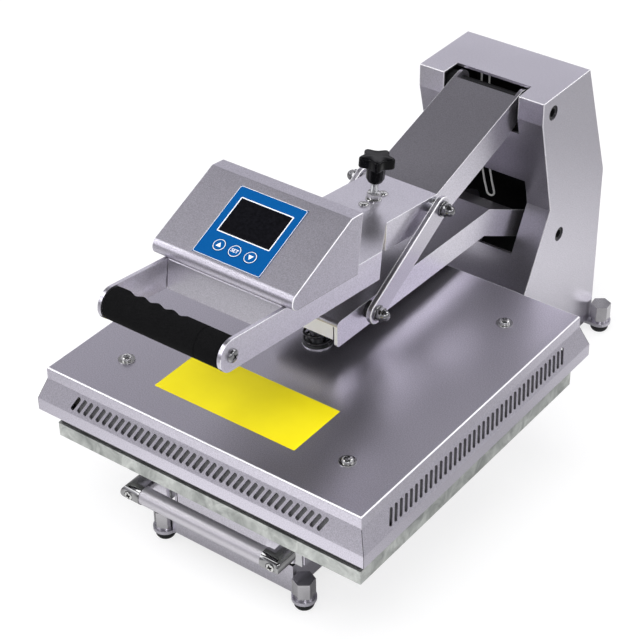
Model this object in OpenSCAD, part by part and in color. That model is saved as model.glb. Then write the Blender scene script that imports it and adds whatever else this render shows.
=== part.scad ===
// Flat heat press with a clamshell head on two pivoted arms and a slide-out lower platen.
// Millimetres, +Z up, operator at -Y, tower at +Y, X = 0 is the plane of symmetry.

/* [Platens] */
// side of the square platens
platen_side = 380; // [360:1:400]
// thickness of the lower platen
platen_t = 16; // [12:0.5:20]
// thickness of the soft pad on the lower platen
pad_t = 8; // [5:0.5:10]
// thickness of the heat platen
heat_t = 14; // [12:0.5:18]

/* [Heat cover] */
// height of the sheet cover over the heat platen
cover_h = 51.6; // [48:0.2:60]
// reach of the cover's foot past the platens
cover_reach = 12.2; // [10:0.2:16]
// inward lean of the slotted band
band_lean = 8.6; // [5:0.2:9.6]
// sheet thickness of the cover
cover_sheet = 1.5; // [1:0.1:2]
// air slots along each side
slot_count = 38; // [20:1:38]
// width of one air slot
slot_w = 4.4; // [2:0.1:5]

/* [Base and tower] */
// outside width of the base and the tower
frame_w = 157.6; // [150:0.2:164]
// sheet thickness of the base and the tower
frame_sheet = 3; // [2:0.1:3.6]
// height of the carriage deck above the floor
deck_z = 114.4; // [112:0.2:124]
// height of the tower's top above the cover's top
tower_rise = 165.3; // [165:0.1:178]
// depth of the tower's top from front to back
tower_depth = 95.6; // [90:0.2:104]
// distance from the post to the tower's back
tower_reach = 438.5; // [432:0.5:450]
// height of the rubber feet
foot_h = 10; // [8:0.5:12]

/* [Arms and links] */
// outside width of the lever channel and of the lower arm
arm_w = 81; // [76:0.5:84]
// sheet thickness of the lever and of the lower arm
arm_sheet = 4; // [3:0.1:4.6]
// depth of the lower arm's flanges
arm_h = 30; // [27:0.5:32]
// width of the link bars
link_w = 25; // [22:0.5:27]
// thickness of the link bars
link_t = 6; // [4:0.5:7]
// outside width of the handle fork
fork_w = 144; // [140:0.5:150]
// distance from the post to the grip along the lever
fork_reach = 219.4; // [205:0.2:235]

/* [Handle and controls] */
// width of the control box
box_w = 166; // [158:0.5:176]
// height of the control box
box_h = 64.6; // [60:0.1:70]
// diameter of the foam grip
grip_d = 32; // [28:0.5:33]
// diameter of the star knob
knob_d = 38; // [34:0.5:42]

/* [Drawer] */
// diameter of the pull tube
pull_d = 19; // [16:0.5:21]
// length of the drawer slides
slide_l = 320; // [290:1:320]

/* [Hidden] */
$fn = 32;
half = platen_side / 2;
plat_r = 1.5;
grow = half - 190;
// heights of the stack, from the carriage deck up
plat_top = deck_z + platen_t;
pad_top = plat_top + pad_t;
heat_bot = pad_top + 0.5;
heat_top = heat_bot + heat_t;
cov_bot = heat_bot + 10.6;
cov_top = cov_bot + cover_h;
function zc(d) = cov_top + d;
function ry(y) = y + grow;
// pivots in the side view: lever on tower, link on lever, link on lower arm, lower arm on tower
piv_a = [ry(314.3), zc(146.4)];
piv_b = [145, zc(104)];
piv_c = [31.3, zc(39.3)];
piv_d = [ry(345.4), zc(-22.1)];
shaft_r = 8.4;
cross_r = 6;
pin_r = 4;
fit = 0.05;
aw = arm_w / 2;
ai = aw - arm_sheet;
fw = frame_w / 2;
fi = fw - frame_sheet;
fk_o = fork_w / 2;
fk_i = fk_o - arm_sheet;
// lever plane: origin over the post, falling to the back
lev_t = 7.41;
lev_z = zc(133.3);
function in_lev(p) =
    [p[0] * cos(lev_t) - (p[1] - lev_z) * sin(lev_t), p[0] * sin(lev_t) + (p[1] - lev_z) * cos(lev_t)];
// base and slides
base_bot = foot_h + 2;
base_top = deck_z - 16.4;
slide_z = base_top - 26;
slide_o = fw + 12.7;
base_front = -150 - grow;
toe_lean = 44.9 / 85.6;
toe_y = ry(322.4) - (zc(20) - base_top) * toe_lean;
foot_x = fw + 12;
foot_front = base_front + 2;
back_y = ry(tower_reach);
foot_back = back_y + 0.4;
tower_front = ry(294);
tower_knee = [ry(322.4), zc(20)];
tower_top = cov_top + tower_rise;
pull_z = base_top - 9;
// link bars and their nuts
link_i = aw + 6;
link_o = link_i + link_t;
// spring on the head's post
post_r = 8;
arm_fall = 2;
web_z = zc(50.5);
seat_t = 1.2;
seat_z = cov_top + seat_t;
wire_r = 1.4;
coil_r = 13.9;
coil_bot = seat_z + wire_r + 0.1;
coil_top = web_z - arm_sheet - 3.4 - wire_r;
coil_n = 5;
// control box in the lever plane
box_r = 9;
box_back = -45.5;
box_foot = 0.4;
box_top = box_foot + box_h;
face_v = -62.9;
face_a = 30.6;
face_l = (box_top - box_foot - box_r * (1 + cos(face_a))) / sin(face_a);
nose_v = face_v - face_l * cos(face_a) + box_r * sin(face_a);
nose_w = box_foot + box_r;

// helpers on points
function unit(a) = a / norm(a);
function left(a) = [-a[1], a[0]];
function edge_n(p, i) = left(unit(p[(i + 1) % len(p)] - p[i]));
function inset(p, d) = [for (i = [0 : len(p) - 1])
    let (a = edge_n(p, (i + len(p) - 1) % len(p)), b = edge_n(p, i)) p[i] + d * (a + b) / (1 + a * b)];
function tangent(p, c, r, s) =
    let (d = norm(p - c), k = atan2(p[1] - c[1], p[0] - c[0]), a = acos(r / d))
    c + r * [cos(k + s * a), sin(k + s * a)];

// helpers on shapes
module along_x(x0, x1) {
    translate([x0, 0, 0])
    rotate([90, 0, 90])
    linear_extrude(height = x1 - x0)
    children();
}
module rod_x(p, r, x0, x1) {
    translate([x0, p[0], p[1]])
    rotate([0, 90, 0])
    cylinder(r = r, h = x1 - x0);
}
module box(a, b) {
    translate(a)
    cube(b - a);
}
module on_side(s) {
    if (s > 0) children();
    else mirror([1, 0, 0]) children();
}
module lever() {
    translate([0, 0, lev_z])
    rotate([-lev_t, 0, 0])
    children();
}
module on_face() {
    lever()
    translate([0, face_v, box_top])
    rotate([face_a, 0, 0])
    children();
}
module slab(s, r, z0, z1) {
    translate([0, 0, z0])
    linear_extrude(height = z1 - z0)
    union() {
        square([2 * s, 2 * (s - r)], center = true);
        square([2 * (s - r), 2 * s], center = true);
        for (x = [-1, 1], y = [-1, 1]) translate([x * (s - r), y * (s - r)]) circle(r = r);
    }
}
module hex(r, h) {
    cylinder(r = r, h = h, $fn = 6);
}

// base: folded channel, open below, with the two front foot lugs and their hexagon posts
lug_r = 13;
lug_t = 4;
post_foot = 3;
post_h = 19.5;
stud_r = 4;
stud_l = 11;
module foot_lug(y, y0, y1) {
    for (s = [-1, 1]) on_side(s)
    union() {
        translate([foot_x, y, foot_h]) cylinder(r = lug_r, h = lug_t);
        box([fi, y0, foot_h], [foot_x, y1, foot_h + lug_t]);
        translate([foot_x, y, foot_h + lug_t]) cylinder(r = 10.3, h = post_foot);
        translate([foot_x, y, foot_h + lug_t + post_foot]) rotate([0, 0, 37]) hex(12.1, post_h);
    }
}
module lug_hole(y) {
    for (s = [-1, 1]) on_side(s)
    translate([foot_x, y, foot_h - 1])
    cylinder(r = stud_r + fit, h = stud_l + 2);
}
module base_channel() {
    color([0.69, 0.67, 0.73])
    difference() {
        union() {
            box([-fw, base_front, base_bot], [fw, toe_y, base_top]);
            foot_lug(foot_front, base_front, foot_front + lug_r);
        }
        box([-fi, base_front + frame_sheet, 0], [fi, toe_y + 1, base_top - frame_sheet]);
        // cut corners beside the slides
        for (s = [-1, 1]) on_side(s)
        box([fw - 9.5, base_front - 1, slide_z - 25], [fw + 1, base_front + 6, slide_z + 2]);
        lug_hole(foot_front);
    }
}

// tower: folded and welded shell with a slot for the lever and a window for the lower arm
back_fold = 18;
front_fold = 139;
tower_pts = [[toe_y, base_bot], [back_y, base_bot], [back_y, zc(back_fold)], [tower_front + tower_depth, tower_top],
    [tower_front, tower_top], [tower_front, zc(front_fold)], tower_knee, [toe_y, base_top]];
module tower_housing() {
    color([0.69, 0.67, 0.73])
    difference() {
        union() {
            along_x(-fw, fw) polygon(tower_pts);
            foot_lug(foot_back, foot_back - lug_r, back_y);
        }
        along_x(-fi, fi) polygon(inset(tower_pts, frame_sheet));
        box([-fi, toe_y + frame_sheet, 0], [fi, back_y - frame_sheet, base_bot + 10]);
        lug_hole(foot_back);
        box([-47, tower_front - 5, zc(117.5)], [47, tower_front + 26, tower_top + 5]);
        box([-48.5, ry(285), zc(-33)], [48.5, ry(334), zc(51)]);
        rod_x(piv_a, shaft_r + fit, -fw - 1, fw + 1);
        rod_x(piv_d, shaft_r + fit, -fw - 1, fw + 1);
        box([-14, back_y - 10, zc(-109)], [14, back_y + 1, zc(-61)]);
    }
}
module foot(s, y) {
    color([0.06, 0.06, 0.07])
    on_side(s)
    translate([foot_x, y, 0])
    union() {
        cylinder(r1 = 8.2, r2 = 10.6, h = 3);
        translate([0, 0, 3]) cylinder(r = 10.6, h = foot_h - 3);
        translate([0, 0, foot_h]) cylinder(r = stud_r, h = stud_l);
    }
}
module foot_fl() { foot(-1, foot_front); }
module foot_fr() { foot(1, foot_front); }
module foot_bl() { foot(-1, foot_back); }
module foot_br() { foot(1, foot_back); }

// pivot shafts of the tower, with collars that centre the arms and socketed ends set back in the sheet
sunk = 1.2;
module tower_shaft(p) {
    color([0.2, 0.2, 0.22])
    difference() {
        union() {
            rod_x(p, shaft_r, -fw + sunk, fw - sunk);
            for (s = [-1, 1]) on_side(s) rod_x(p, shaft_r + 3.6, aw + 0.3, fi);
        }
        for (s = [-1, 1]) on_side(s)
        translate([fw - 7, p[0], p[1]])
        rotate([0, 90, 0])
        hex(5.2, 8);
    }
}
module upper_shaft() { tower_shaft(piv_a); }
module lower_shaft() { tower_shaft(piv_d); }

// mains entry with a rocker switch, let into the tower's back
entry_z = zc(-85);
module power_entry() {
    color([0.05, 0.05, 0.06])
    difference() {
        union() {
            box([-13.8, back_y - 28, entry_z - 23.8], [13.8, back_y, entry_z + 23.8]);
            box([-18, back_y, entry_z - 28], [18, back_y + 2.4, entry_z + 28]);
        }
        box([-10.5, back_y - 16, entry_z - 21], [10.5, back_y + 4, entry_z - 3]);
        box([-9, back_y - 10, entry_z + 2], [9, back_y + 4, entry_z + 21]);
        translate([-20, back_y - 2.5, entry_z + 11.5]) rotate([0, 90, 0]) cylinder(r = 1.05, h = 40);
    }
}
module rocker() {
    color([0.6, 0.05, 0.05])
    union() {
        translate([0, back_y - 2.5, entry_z + 11.5])
        rotate([-9, 0, 0])
        along_x(-8.5, 8.5) polygon([[-5, -5], [2, -8], [4.2, -8.2], [3.6, 0], [4.2, 8.2], [2, 8], [-5, 5]]);
        rod_x([back_y - 2.5, entry_z + 11.5], 1, -13.5, 13.5);
    }
}
// loop of lead wire that hangs inside the tower's window from the underside of its top, leaning to one side
wire_d = 2.4;
wire_y = ry(340);
wire_top = tower_top - frame_sheet;
wire_low = zc(5);
wire_r1 = 5;
wire_lean = 13;
wire_turn = 24;
wire_legs = 13;
function wire_mid(k) =
    [-9.5 - wire_lean * (1 - pow(1 - k, 4)), wire_low + (wire_top - wire_low) * k];
function wire_up(k) = unit([-4 * wire_lean * pow(1 - k, 3), wire_top - wire_low]);
wire_bend = wire_up(0);
wire_route = concat(
    [for (i = [0 : wire_legs]) let (k = 1 - i / wire_legs) wire_mid(k) + wire_r1 * left(wire_up(k))],
    [for (a = [wire_turn : wire_turn : 180 - wire_turn / 2])
        wire_mid(0) + wire_r1 * (cos(a) * left(wire_bend) - sin(a) * wire_bend)],
    [for (i = [0 : wire_legs]) let (k = i / wire_legs) wire_mid(k) - wire_r1 * left(wire_up(k))]);
wire_n = len(wire_route);
function wire_t(i) = unit(wire_route[min(i + 1, wire_n - 1)] - wire_route[max(i - 1, 0)]);
function wire_pt(i, k) =
    let (a = 45 * k, n = left(wire_t(i)) * wire_d / 2 * cos(a))
    [wire_route[i][0] + n[0], wire_y + wire_d / 2 * sin(a), wire_route[i][1] + n[1]];
function wp(i, k) = i * 8 + k % 8;
wire_faces = concat(
    [for (k = [1 : 6]) [wp(0, 0), wp(0, k + 1), wp(0, k)]],
    [for (i = [0 : wire_n - 2], k = [0 : 7]) [wp(i, k), wp(i + 1, k + 1), wp(i + 1, k)]],
    [for (i = [0 : wire_n - 2], k = [0 : 7]) [wp(i, k), wp(i, k + 1), wp(i + 1, k + 1)]],
    [for (k = [1 : 6]) [wp(wire_n - 1, 0), wp(wire_n - 1, k), wp(wire_n - 1, k + 1)]]);
module lead_wire() {
    color([0.9, 0.9, 0.88])
    polyhedron(points = [for (i = [0 : wire_n - 1], k = [0 : 7]) wire_pt(i, k)], faces = wire_faces);
}

// fixed members of the two drawer slides
module slide_fixed(s) {
    color([0.8, 0.81, 0.82])
    on_side(s)
    union() {
        box([fw, base_front, slide_z - 17.5], [fw + 1.5, base_front + slide_l, slide_z + 17.5]);
        for (k = [-1, 1])
        box([fw, base_front, slide_z + k * 16.75 - 0.75], [fw + 10.2, base_front + slide_l, slide_z + k * 16.75 + 0.75]);
        for (k = [-1, 1])
        box([fw + 8.7, base_front, slide_z + k * 15.2 - 1.3], [fw + 10.2, base_front + slide_l, slide_z + k * 15.2 + 1.3]);
    }
}
module slide_fixed_l() { slide_fixed(-1); }
module slide_fixed_r() { slide_fixed(1); }

// lower arm: channel open below, kinked down to its pivot in the tower
function web_at(y) = web_z - (y + 0) * tan(arm_fall);
arm_front = -21;
kink_t = [ry(257), web_at(ry(257))];
kink_b = [ry(248.5), web_at(ry(248.5)) - arm_h];
arm_end_r = 15.5;
arm_fold = 5;
arm_toe = 3;
arm_back_t = tangent(kink_t, piv_d, arm_end_r, -1);
arm_pts = concat(
    [for (a = [180 : 30 : 270])
        [arm_front + arm_toe + arm_toe * cos(a), web_at(arm_front) - arm_h + arm_toe + arm_toe * sin(a)]],
    [kink_b, tangent(kink_b, piv_d, arm_end_r, 1), arm_back_t, kink_t],
    [for (a = [90 : 18 : 180])
        [arm_front + arm_fold + arm_fold * cos(a), web_at(arm_front + arm_fold) - arm_fold + arm_fold * sin(a)]]);
arm_cut_y = ry(312);
kink_n = left(unit(kink_t - arm_back_t));
kink_i = kink_t + [-arm_sheet * sin(arm_fall + 14), -arm_sheet / cos(14)];
arm_in_pts = [[arm_front + arm_sheet, web_at(arm_front) - arm_h + 8], [arm_front - 1, web_at(arm_front) - arm_h + 8],
    [arm_front - 1, zc(-80)], [ry(400), zc(-80)], [ry(400), zc(80)], [arm_cut_y, zc(80)],
    [arm_cut_y, kink_i[1] + (arm_cut_y - kink_i[0]) * (arm_back_t[1] - kink_t[1]) / (arm_back_t[0] - kink_t[0])],
    kink_i, [arm_front + arm_sheet, web_at(arm_front) - arm_sheet]];
module lower_arm() {
    color([0.72, 0.71, 0.77])
    difference() {
        union() {
            along_x(-aw, aw) polygon(arm_pts);
            rod_x(piv_d, arm_end_r, -aw, aw);
        }
        along_x(-ai, ai) polygon(arm_in_pts);
        // open corners between the folded front plate and the side flanges
        for (s = [-1, 1]) on_side(s)
        box([ai - 1.3, arm_front - 1, zc(-5)], [ai, arm_front + arm_sheet + 0.2, web_at(arm_front) - arm_sheet - 2]);
        rod_x(piv_d, shaft_r + fit, -aw - 1, aw + 1);
        rod_x(piv_c, cross_r + fit, -aw - 1, aw + 1);
        translate([0, 0, zc(20)]) cylinder(r = post_r + 0.4, h = 60);
    }
}
// cross pin of the lower arm, its ends stop short of the link bars
module link_pin() {
    color([0.07, 0.07, 0.08])
    union() {
        rod_x(piv_c, cross_r, -link_i + 0.4, link_i - 0.4);
        for (s = [-1, 1]) on_side(s) rod_x(piv_c, 9, aw, link_i - 0.4);
    }
}
// post of the heat head: disc on the heat platen, spring seat over the cover, hexagon head over the arm
module head_post() {
    color([0.8, 0.8, 0.82])
    union() {
        translate([0, 0, heat_top]) cylinder(r = 34, h = 6);
        translate([0, 0, heat_top]) cylinder(r = post_r, h = web_z + 1.5 - heat_top);
        translate([0, 0, cov_top]) cylinder(r = 16, h = seat_t);
        translate([0, 0, web_z + 0.7]) cylinder(r = 15, h = 2);
        translate([0, 0, web_z + 2.7]) hex(12, 8);
    }
}
module spring_washer() {
    color([0.8, 0.8, 0.82])
    translate([0, 0, web_z - arm_sheet - 0.1])
    rotate([-arm_fall, 0, 0])
    translate([0, 0, -2.2])
    difference() {
        cylinder(r = 16.5, h = 2.2);
        translate([0, 0, -1]) cylinder(r = post_r + 0.8, h = 5);
    }
}
// compression spring: one wound wire with closed end curls
ring_n = 8;
side_n = 6;
coil_h = coil_top - coil_bot;
end_p = 2 * wire_r + 0.75;
mid_p = (coil_h - 2 * end_p) / (coil_n - 2);
function coil_z(t) = t < 1 ? t * end_p : t > coil_n - 1 ? coil_h - (coil_n - t) * end_p : end_p + (t - 1) * mid_p;
function coil_c(i) = [coil_r * cos(360 * i / ring_n), coil_r * sin(360 * i / ring_n), coil_bot + coil_z(i / ring_n)];
function coil_pt(i, k) =
    let (a = 360 * i / ring_n, b = 360 * k / side_n)
    coil_c(i) + wire_r * [cos(b) * cos(a), cos(b) * sin(a), sin(b)];
coil_rings = ring_n * coil_n;
coil_pts = [for (i = [0 : coil_rings], k = [0 : side_n - 1]) coil_pt(i, k)];
function cp(i, k) = i * side_n + k % side_n;
coil_faces = concat(
    [for (k = [1 : side_n - 2]) [cp(0, 0), cp(0, k + 1), cp(0, k)]],
    [for (i = [0 : coil_rings - 1], k = [0 : side_n - 1]) [cp(i, k), cp(i + 1, k + 1), cp(i + 1, k)]],
    [for (i = [0 : coil_rings - 1], k = [0 : side_n - 1]) [cp(i, k), cp(i, k + 1), cp(i + 1, k + 1)]],
    [for (k = [1 : side_n - 2]) [cp(coil_rings, 0), cp(coil_rings, k), cp(coil_rings, k + 1)]]);
coil_gap = min([for (i = [0 : coil_rings - ring_n + 2], j = [i + ring_n - 2 : min(i + ring_n + 2, coil_rings)])
    norm(coil_c(i) - coil_c(j)) - 2 * wire_r]);
echo(coil_gap = coil_gap);
module head_spring() {
    color([0.05, 0.05, 0.06])
    polyhedron(points = coil_pts, faces = coil_faces);
}

// heat head: sheet cover with slanted air slots in its leaning band
cov_o = half + cover_reach;
cov_i = cov_o - band_lean;
band_z0 = cov_bot + 14.7;
band_z1 = cov_top - 13;
band_a = atan2(band_lean, band_z1 - band_z0);
band_l = norm([band_lean, band_z1 - band_z0]);
cov_pts = [[-cov_o, cov_bot], [cov_o, cov_bot], [cov_o, band_z0], [cov_i, band_z1], [cov_i, cov_top - 1.2],
    [cov_i - 1.2, cov_top], [-cov_i + 1.2, cov_top], [-cov_i, cov_top - 1.2], [-cov_i, band_z1], [-cov_o, band_z0]];
cov_in_pts = let (q = inset(cov_pts, cover_sheet)) concat([[q[0][0], cov_bot - 5], [q[1][0], cov_bot - 5]],
    [for (i = [2 : len(q) - 1]) q[i]]);
module two_way(p, l) {
    intersection() {
        along_x(-l, l) polygon(p);
        rotate([0, 0, 90]) along_x(-l, l) polygon(p);
    }
}
slot_l = band_l * 0.7;
slot_pitch = (2 * half - 74) / 37;
module slot_row() {
    for (i = [0 : slot_count - 1])
    translate([(i - (slot_count - 1) / 2) * slot_pitch, 0, 0])
    rotate([0, 28, 0])
    translate([0, 6, 0])
    rotate([90, 0, 0])
    linear_extrude(height = 12)
    polygon([[-slot_w / 2, -slot_l / 2 + 1], [-slot_w / 4, -slot_l / 2], [slot_w / 4, -slot_l / 2],
        [slot_w / 2, -slot_l / 2 + 1], [slot_w / 2, slot_l / 2 - 1], [slot_w / 4, slot_l / 2],
        [-slot_w / 4, slot_l / 2], [-slot_w / 2, slot_l / 2 - 1]]);
}
screw_xy = half - 53;
module cover_shell() {
    color([0.6, 0.59, 0.64])
    difference() {
        two_way(cov_pts, cov_o + 5);
        two_way(cov_in_pts, cov_o + 5);
        for (q = [0 : 3])
        rotate([0, 0, 90 * q])
        translate([0, -(cov_o + cov_i) / 2, (band_z0 + band_z1) / 2])
        rotate([-band_a, 0, 0])
        slot_row();
        translate([0, 0, cov_top - 5]) cylinder(r = post_r + 0.4, h = 10);
        for (x = [-1, 1], y = [-1, 1])
        translate([x * screw_xy, y * screw_xy, cov_top - 5])
        cylinder(r = 3 + fit, h = 10, $fn = 24);
    }
}
module cover_screw(x, y) {
    color([0.82, 0.82, 0.84])
    translate([x * screw_xy, y * screw_xy, 0])
    union() {
        translate([0, 0, cov_top]) cylinder(r = 9, h = 1.4);
        translate([0, 0, cov_top + 1.4]) cylinder(r1 = 5.8, r2 = 5.2, h = 2.6, $fn = 24);
        translate([0, 0, cov_top + 4]) cylinder(r1 = 5.2, r2 = 3, h = 1, $fn = 24);
        translate([0, 0, heat_top - 8]) cylinder(r = 3, h = cov_top - heat_top + 8.5, $fn = 24);
    }
}
module cover_screw_fl() { cover_screw(-1, -1); }
module cover_screw_fr() { cover_screw(1, -1); }
module cover_screw_bl() { cover_screw(-1, 1); }
module cover_screw_br() { cover_screw(1, 1); }
module screw_holes(r, z, h) {
    for (x = [-1, 1], y = [-1, 1])
    translate([x * screw_xy, y * screw_xy, z])
    cylinder(r = r, h = h, $fn = 24);
}
module heat_platen() {
    color([0.75, 0.76, 0.76])
    difference() {
        slab(half, plat_r, heat_bot, heat_top);
        screw_holes(3 + fit, heat_top - 8.5, 20);
    }
}
// heating sheet and glass-wool board that fill the cover
heater_t = 3;
module heater() {
    color([0.55, 0.5, 0.4])
    difference() {
        slab(half - 16, 4, heat_top, heat_top + heater_t);
        screw_holes(4, heat_top - 1, 20);
        translate([0, 0, heat_top - 1]) cylinder(r = 34.5, h = 20);
    }
}
wool_top = cov_top - cover_sheet - 8;
module insulation() {
    color([0.85, 0.82, 0.7])
    difference() {
        slab(cov_i - 12, 4, heat_top + heater_t, wool_top);
        screw_holes(4, heat_top - 1, 60);
        translate([0, 0, heat_top - 1]) cylinder(r = 34.5, h = 60);
    }
}

// lever: one folded sheet, channel at the back, flat plate, flare and fork at the front
valley = [153.3, 0];
lev_a = in_lev(piv_a);
lev_b = in_lev(piv_b);
a_r = 14.5;
lev_front = [63.2, 0];
lev_foot = [65, -32];
belly = in_lev([ry(159.8), zc(78.8)]);
arm_low = in_lev([ry(286), zc(117)]);
up_top = tangent(valley, lev_a, a_r, -1);
lever_pts = [lev_foot, belly, arm_low, tangent(arm_low, lev_a, a_r, 1), up_top, valley, lev_front];
up_dir = unit(up_top - valley);
web_end = valley + up_dir * (lev_a[0] - 14 - valley[0]) / up_dir[0];
up_in = [-up_dir[1], up_dir[0]] * -arm_sheet;
valley_in = valley + [arm_sheet * tan(atan2(up_dir[1], up_dir[0]) / 2), -arm_sheet];
lever_in_pts = [[40, -arm_sheet], [40, -120], [lev_a[0] + 60, -120], [lev_a[0] + 60, 150], [web_end[0], 150],
    web_end + up_in, valley_in];
bar_top = 0;
bar_low = -31;
tip_r = 16.4;
tip = [-fork_reach, bar_top - tip_r];
flare_v = 10;
bar_pts = [[flare_v, bar_low], [flare_v, bar_top], [tip[0], bar_top], tip,
    tangent([flare_v, bar_low], tip, tip_r - 0.2, -1)];
knob_v = 97.5;
lip_v = -143;
lip_low = bar_low - 1;
module lever_frame() {
    color([0.71, 0.7, 0.76])
    lever()
    difference() {
        union() {
            difference() {
                union() {
                    along_x(-aw, aw) polygon(lever_pts);
                    rod_x(lev_a, a_r, -aw, aw);
                }
                along_x(-ai, ai) polygon(lever_in_pts);
            }
            translate([0, 0, -arm_sheet])
            linear_extrude(height = arm_sheet)
            polygon([[1 - aw, 80], [1 - aw, 63.7], [1 - fk_o, flare_v + 1], [1 - fk_o, lip_v + 1],
                [fk_o - 1, lip_v + 1], [fk_o - 1, flare_v + 1], [aw - 1, 63.7], [aw - 1, 80]]);
            for (s = [-1, 1]) on_side(s)
            along_x(fk_i, fk_o)
            union() {
                polygon(bar_pts);
                translate(tip) circle(r = tip_r);
            }
            box([-fk_i + 1, lip_v, lip_low], [fk_i - 1, lip_v + arm_sheet, -1]);
        }
        rod_x(lev_a, shaft_r + fit, -aw - 1, aw + 1);
        rod_x(lev_b, pin_r + fit, -aw - 1, aw + 1);
        rod_x(tip, 3 + fit, -fk_o - 1, fk_o + 1);
        translate([0, knob_v, -20]) cylinder(r = pin_r + fit, h = 40);
        for (k = [-1, 1]) translate([0, knob_v + k * 17.2, -20]) cylinder(r = 2.5 + fit, h = 40, $fn = 24);
    }
}
// pin through the lever at its valley, with shoulders that carry the link bars
module lever_pin() {
    color([0.8, 0.8, 0.82])
    union() {
        rod_x(piv_b, pin_r, -link_o - 8, link_o + 8);
        for (s = [-1, 1]) on_side(s) rod_x(piv_b, 8.5, aw, link_i - 0.3);
    }
}
// domed nut with its washer, from the link bar's outer face outwards
module dome_nut(p, gap, bore) {
    color([0.85, 0.85, 0.87])
    translate([link_o + gap, p[0], p[1]])
    rotate([0, 90, 0])
    difference() {
        union() {
            cylinder(r = 8.5, h = 1.4);
            translate([0, 0, 1.4]) hex(7.6, 5.5);
            translate([0, 0, 6.9]) cylinder(r = 6, h = 1);
            translate([0, 0, 7.9]) intersection() {
                sphere(r = 6, $fn = 24);
                cylinder(r = 8, h = 8);
            }
        }
        translate([0, 0, -1]) cylinder(r = bore, h = 9.3);
    }
}
module lever_nut_l() { on_side(-1) dome_nut(piv_b, 0.3, pin_r + fit); }
module lever_nut_r() { on_side(1) dome_nut(piv_b, 0.3, pin_r + fit); }
module link_bar(s) {
    u = unit(piv_c - piv_b);
    n = left(u) * link_w / 2;
    color([0.74, 0.73, 0.78])
    on_side(s)
    difference() {
        union() {
            along_x(link_i, link_o) polygon([piv_b + n, piv_c + n, piv_c - n, piv_b - n]);
            rod_x(piv_b, link_w / 2, link_i, link_o);
            rod_x(piv_c, link_w / 2, link_i, link_o);
        }
        rod_x(piv_b, pin_r + fit, link_i - 1, link_o + 1);
        rod_x(piv_c, pin_r + fit, link_i - 1, link_o + 1);
    }
}
module link_l() { link_bar(-1); }
module link_r() { link_bar(1); }
module link_nut(s) {
    color([0.85, 0.85, 0.87])
    on_side(s)
    union() {
        dome_nut(piv_c, 0, pin_r - 1);
        rod_x(piv_c, pin_r, link_i + 0.3, link_o + 5);
    }
}
module link_nut_l() { link_nut(-1); }
module link_nut_r() { link_nut(1); }

// pressure knob with its threaded rod through the lever plate
star_w = 37;
star_t = 12.5;
module knob() {
    color([0.04, 0.04, 0.05])
    lever()
    translate([0, knob_v, 0])
    difference() {
        union() {
            translate([0, 0, star_w])
            linear_extrude(height = star_t)
            union() {
                circle(r = knob_d / 2 - 5.5);
                for (i = [0 : 4]) rotate(72 * i + 90) translate([knob_d / 2 - 6, 0]) circle(r = 6);
            }
            translate([0, 0, 24]) cylinder(r = 9.6, h = star_w + 1 - 24);
            translate([0, 0, 20]) cylinder(r1 = 7, r2 = 9.6, h = 4);
        }
        translate([0, 0, 10]) cylinder(r = pin_r + fit, h = 36);
    }
}
module knob_rod() {
    color([0.78, 0.78, 0.8])
    lever()
    translate([0, knob_v, 0])
    union() {
        translate([0, 0, -44]) cylinder(r = pin_r, h = 88);
        translate([0, 0, -50]) cylinder(r1 = 3, r2 = pin_r, h = 6);
    }
}
module rod_nut() {
    color([0.84, 0.84, 0.86])
    lever()
    translate([0, knob_v, 0])
    difference() {
        union() {
            cylinder(r = 8.5, h = 1.4);
            translate([0, 0, 1.4]) hex(7.6, 7);
        }
        translate([0, 0, -1]) cylinder(r = pin_r + fit, h = 12);
    }
}
module plate_screw(k) {
    color([0.82, 0.82, 0.84])
    lever()
    translate([0, knob_v + k * 17.2, 0])
    union() {
        cylinder(r1 = 5.4, r2 = 4.8, h = 2.4, $fn = 24);
        translate([0, 0, 2.4]) cylinder(r1 = 4.8, r2 = 2.6, h = 0.9, $fn = 24);
        translate([0, 0, -14]) cylinder(r = 2.5, h = 14.5, $fn = 24);
    }
}
module plate_screw_f() { plate_screw(-1); }
module plate_screw_b() { plate_screw(1); }

// handle: steel rod between the fork bars, foam grip with finger hollows, two screws
module grip_rod() {
    color([0.75, 0.75, 0.77])
    lever()
    difference() {
        rod_x(tip, 8, -fk_i, fk_i);
        for (s = [-1, 1]) on_side(s) rod_x(tip, 3 + fit, fk_i - 14, fk_i + 1);
    }
}
hollow_n = 4;
module foam_grip() {
    color([0.05, 0.05, 0.055])
    lever()
    difference() {
        union() {
            rod_x(tip, grip_d / 2, -fk_i + 2, fk_i - 2);
            for (s = [-1, 1]) on_side(s) rod_x(tip, grip_d / 2 - 1, fk_i - 2, fk_i - 0.3);
        }
        rod_x(tip, 8 + fit, -fk_i - 1, fk_i + 1);
        for (i = [0 : hollow_n - 1])
        translate([-fk_i + 22 + i * 17.5, tip[0], tip[1]])
        rotate([-50, 0, 0])
        translate([0, 0, grip_d / 2 + 14])
        rotate([90, 0, 0])
        translate([0, 0, -30])
        cylinder(r = 16.2, h = 60);
    }
}
module grip_screw(s) {
    color([0.8, 0.8, 0.82])
    on_side(s)
    lever()
    union() {
        rod_x(tip, 6.8, fk_o, fk_o + 2.6);
        translate([fk_o + 2.6, tip[0], tip[1]]) rotate([0, 90, 0]) cylinder(r1 = 6.8, r2 = 4, h = 1.2);
        rod_x(tip, 3, fk_i - 12, fk_o + 0.5);
    }
}
module grip_screw_l() { grip_screw(-1); }
module grip_screw_r() { grip_screw(1); }

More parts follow.
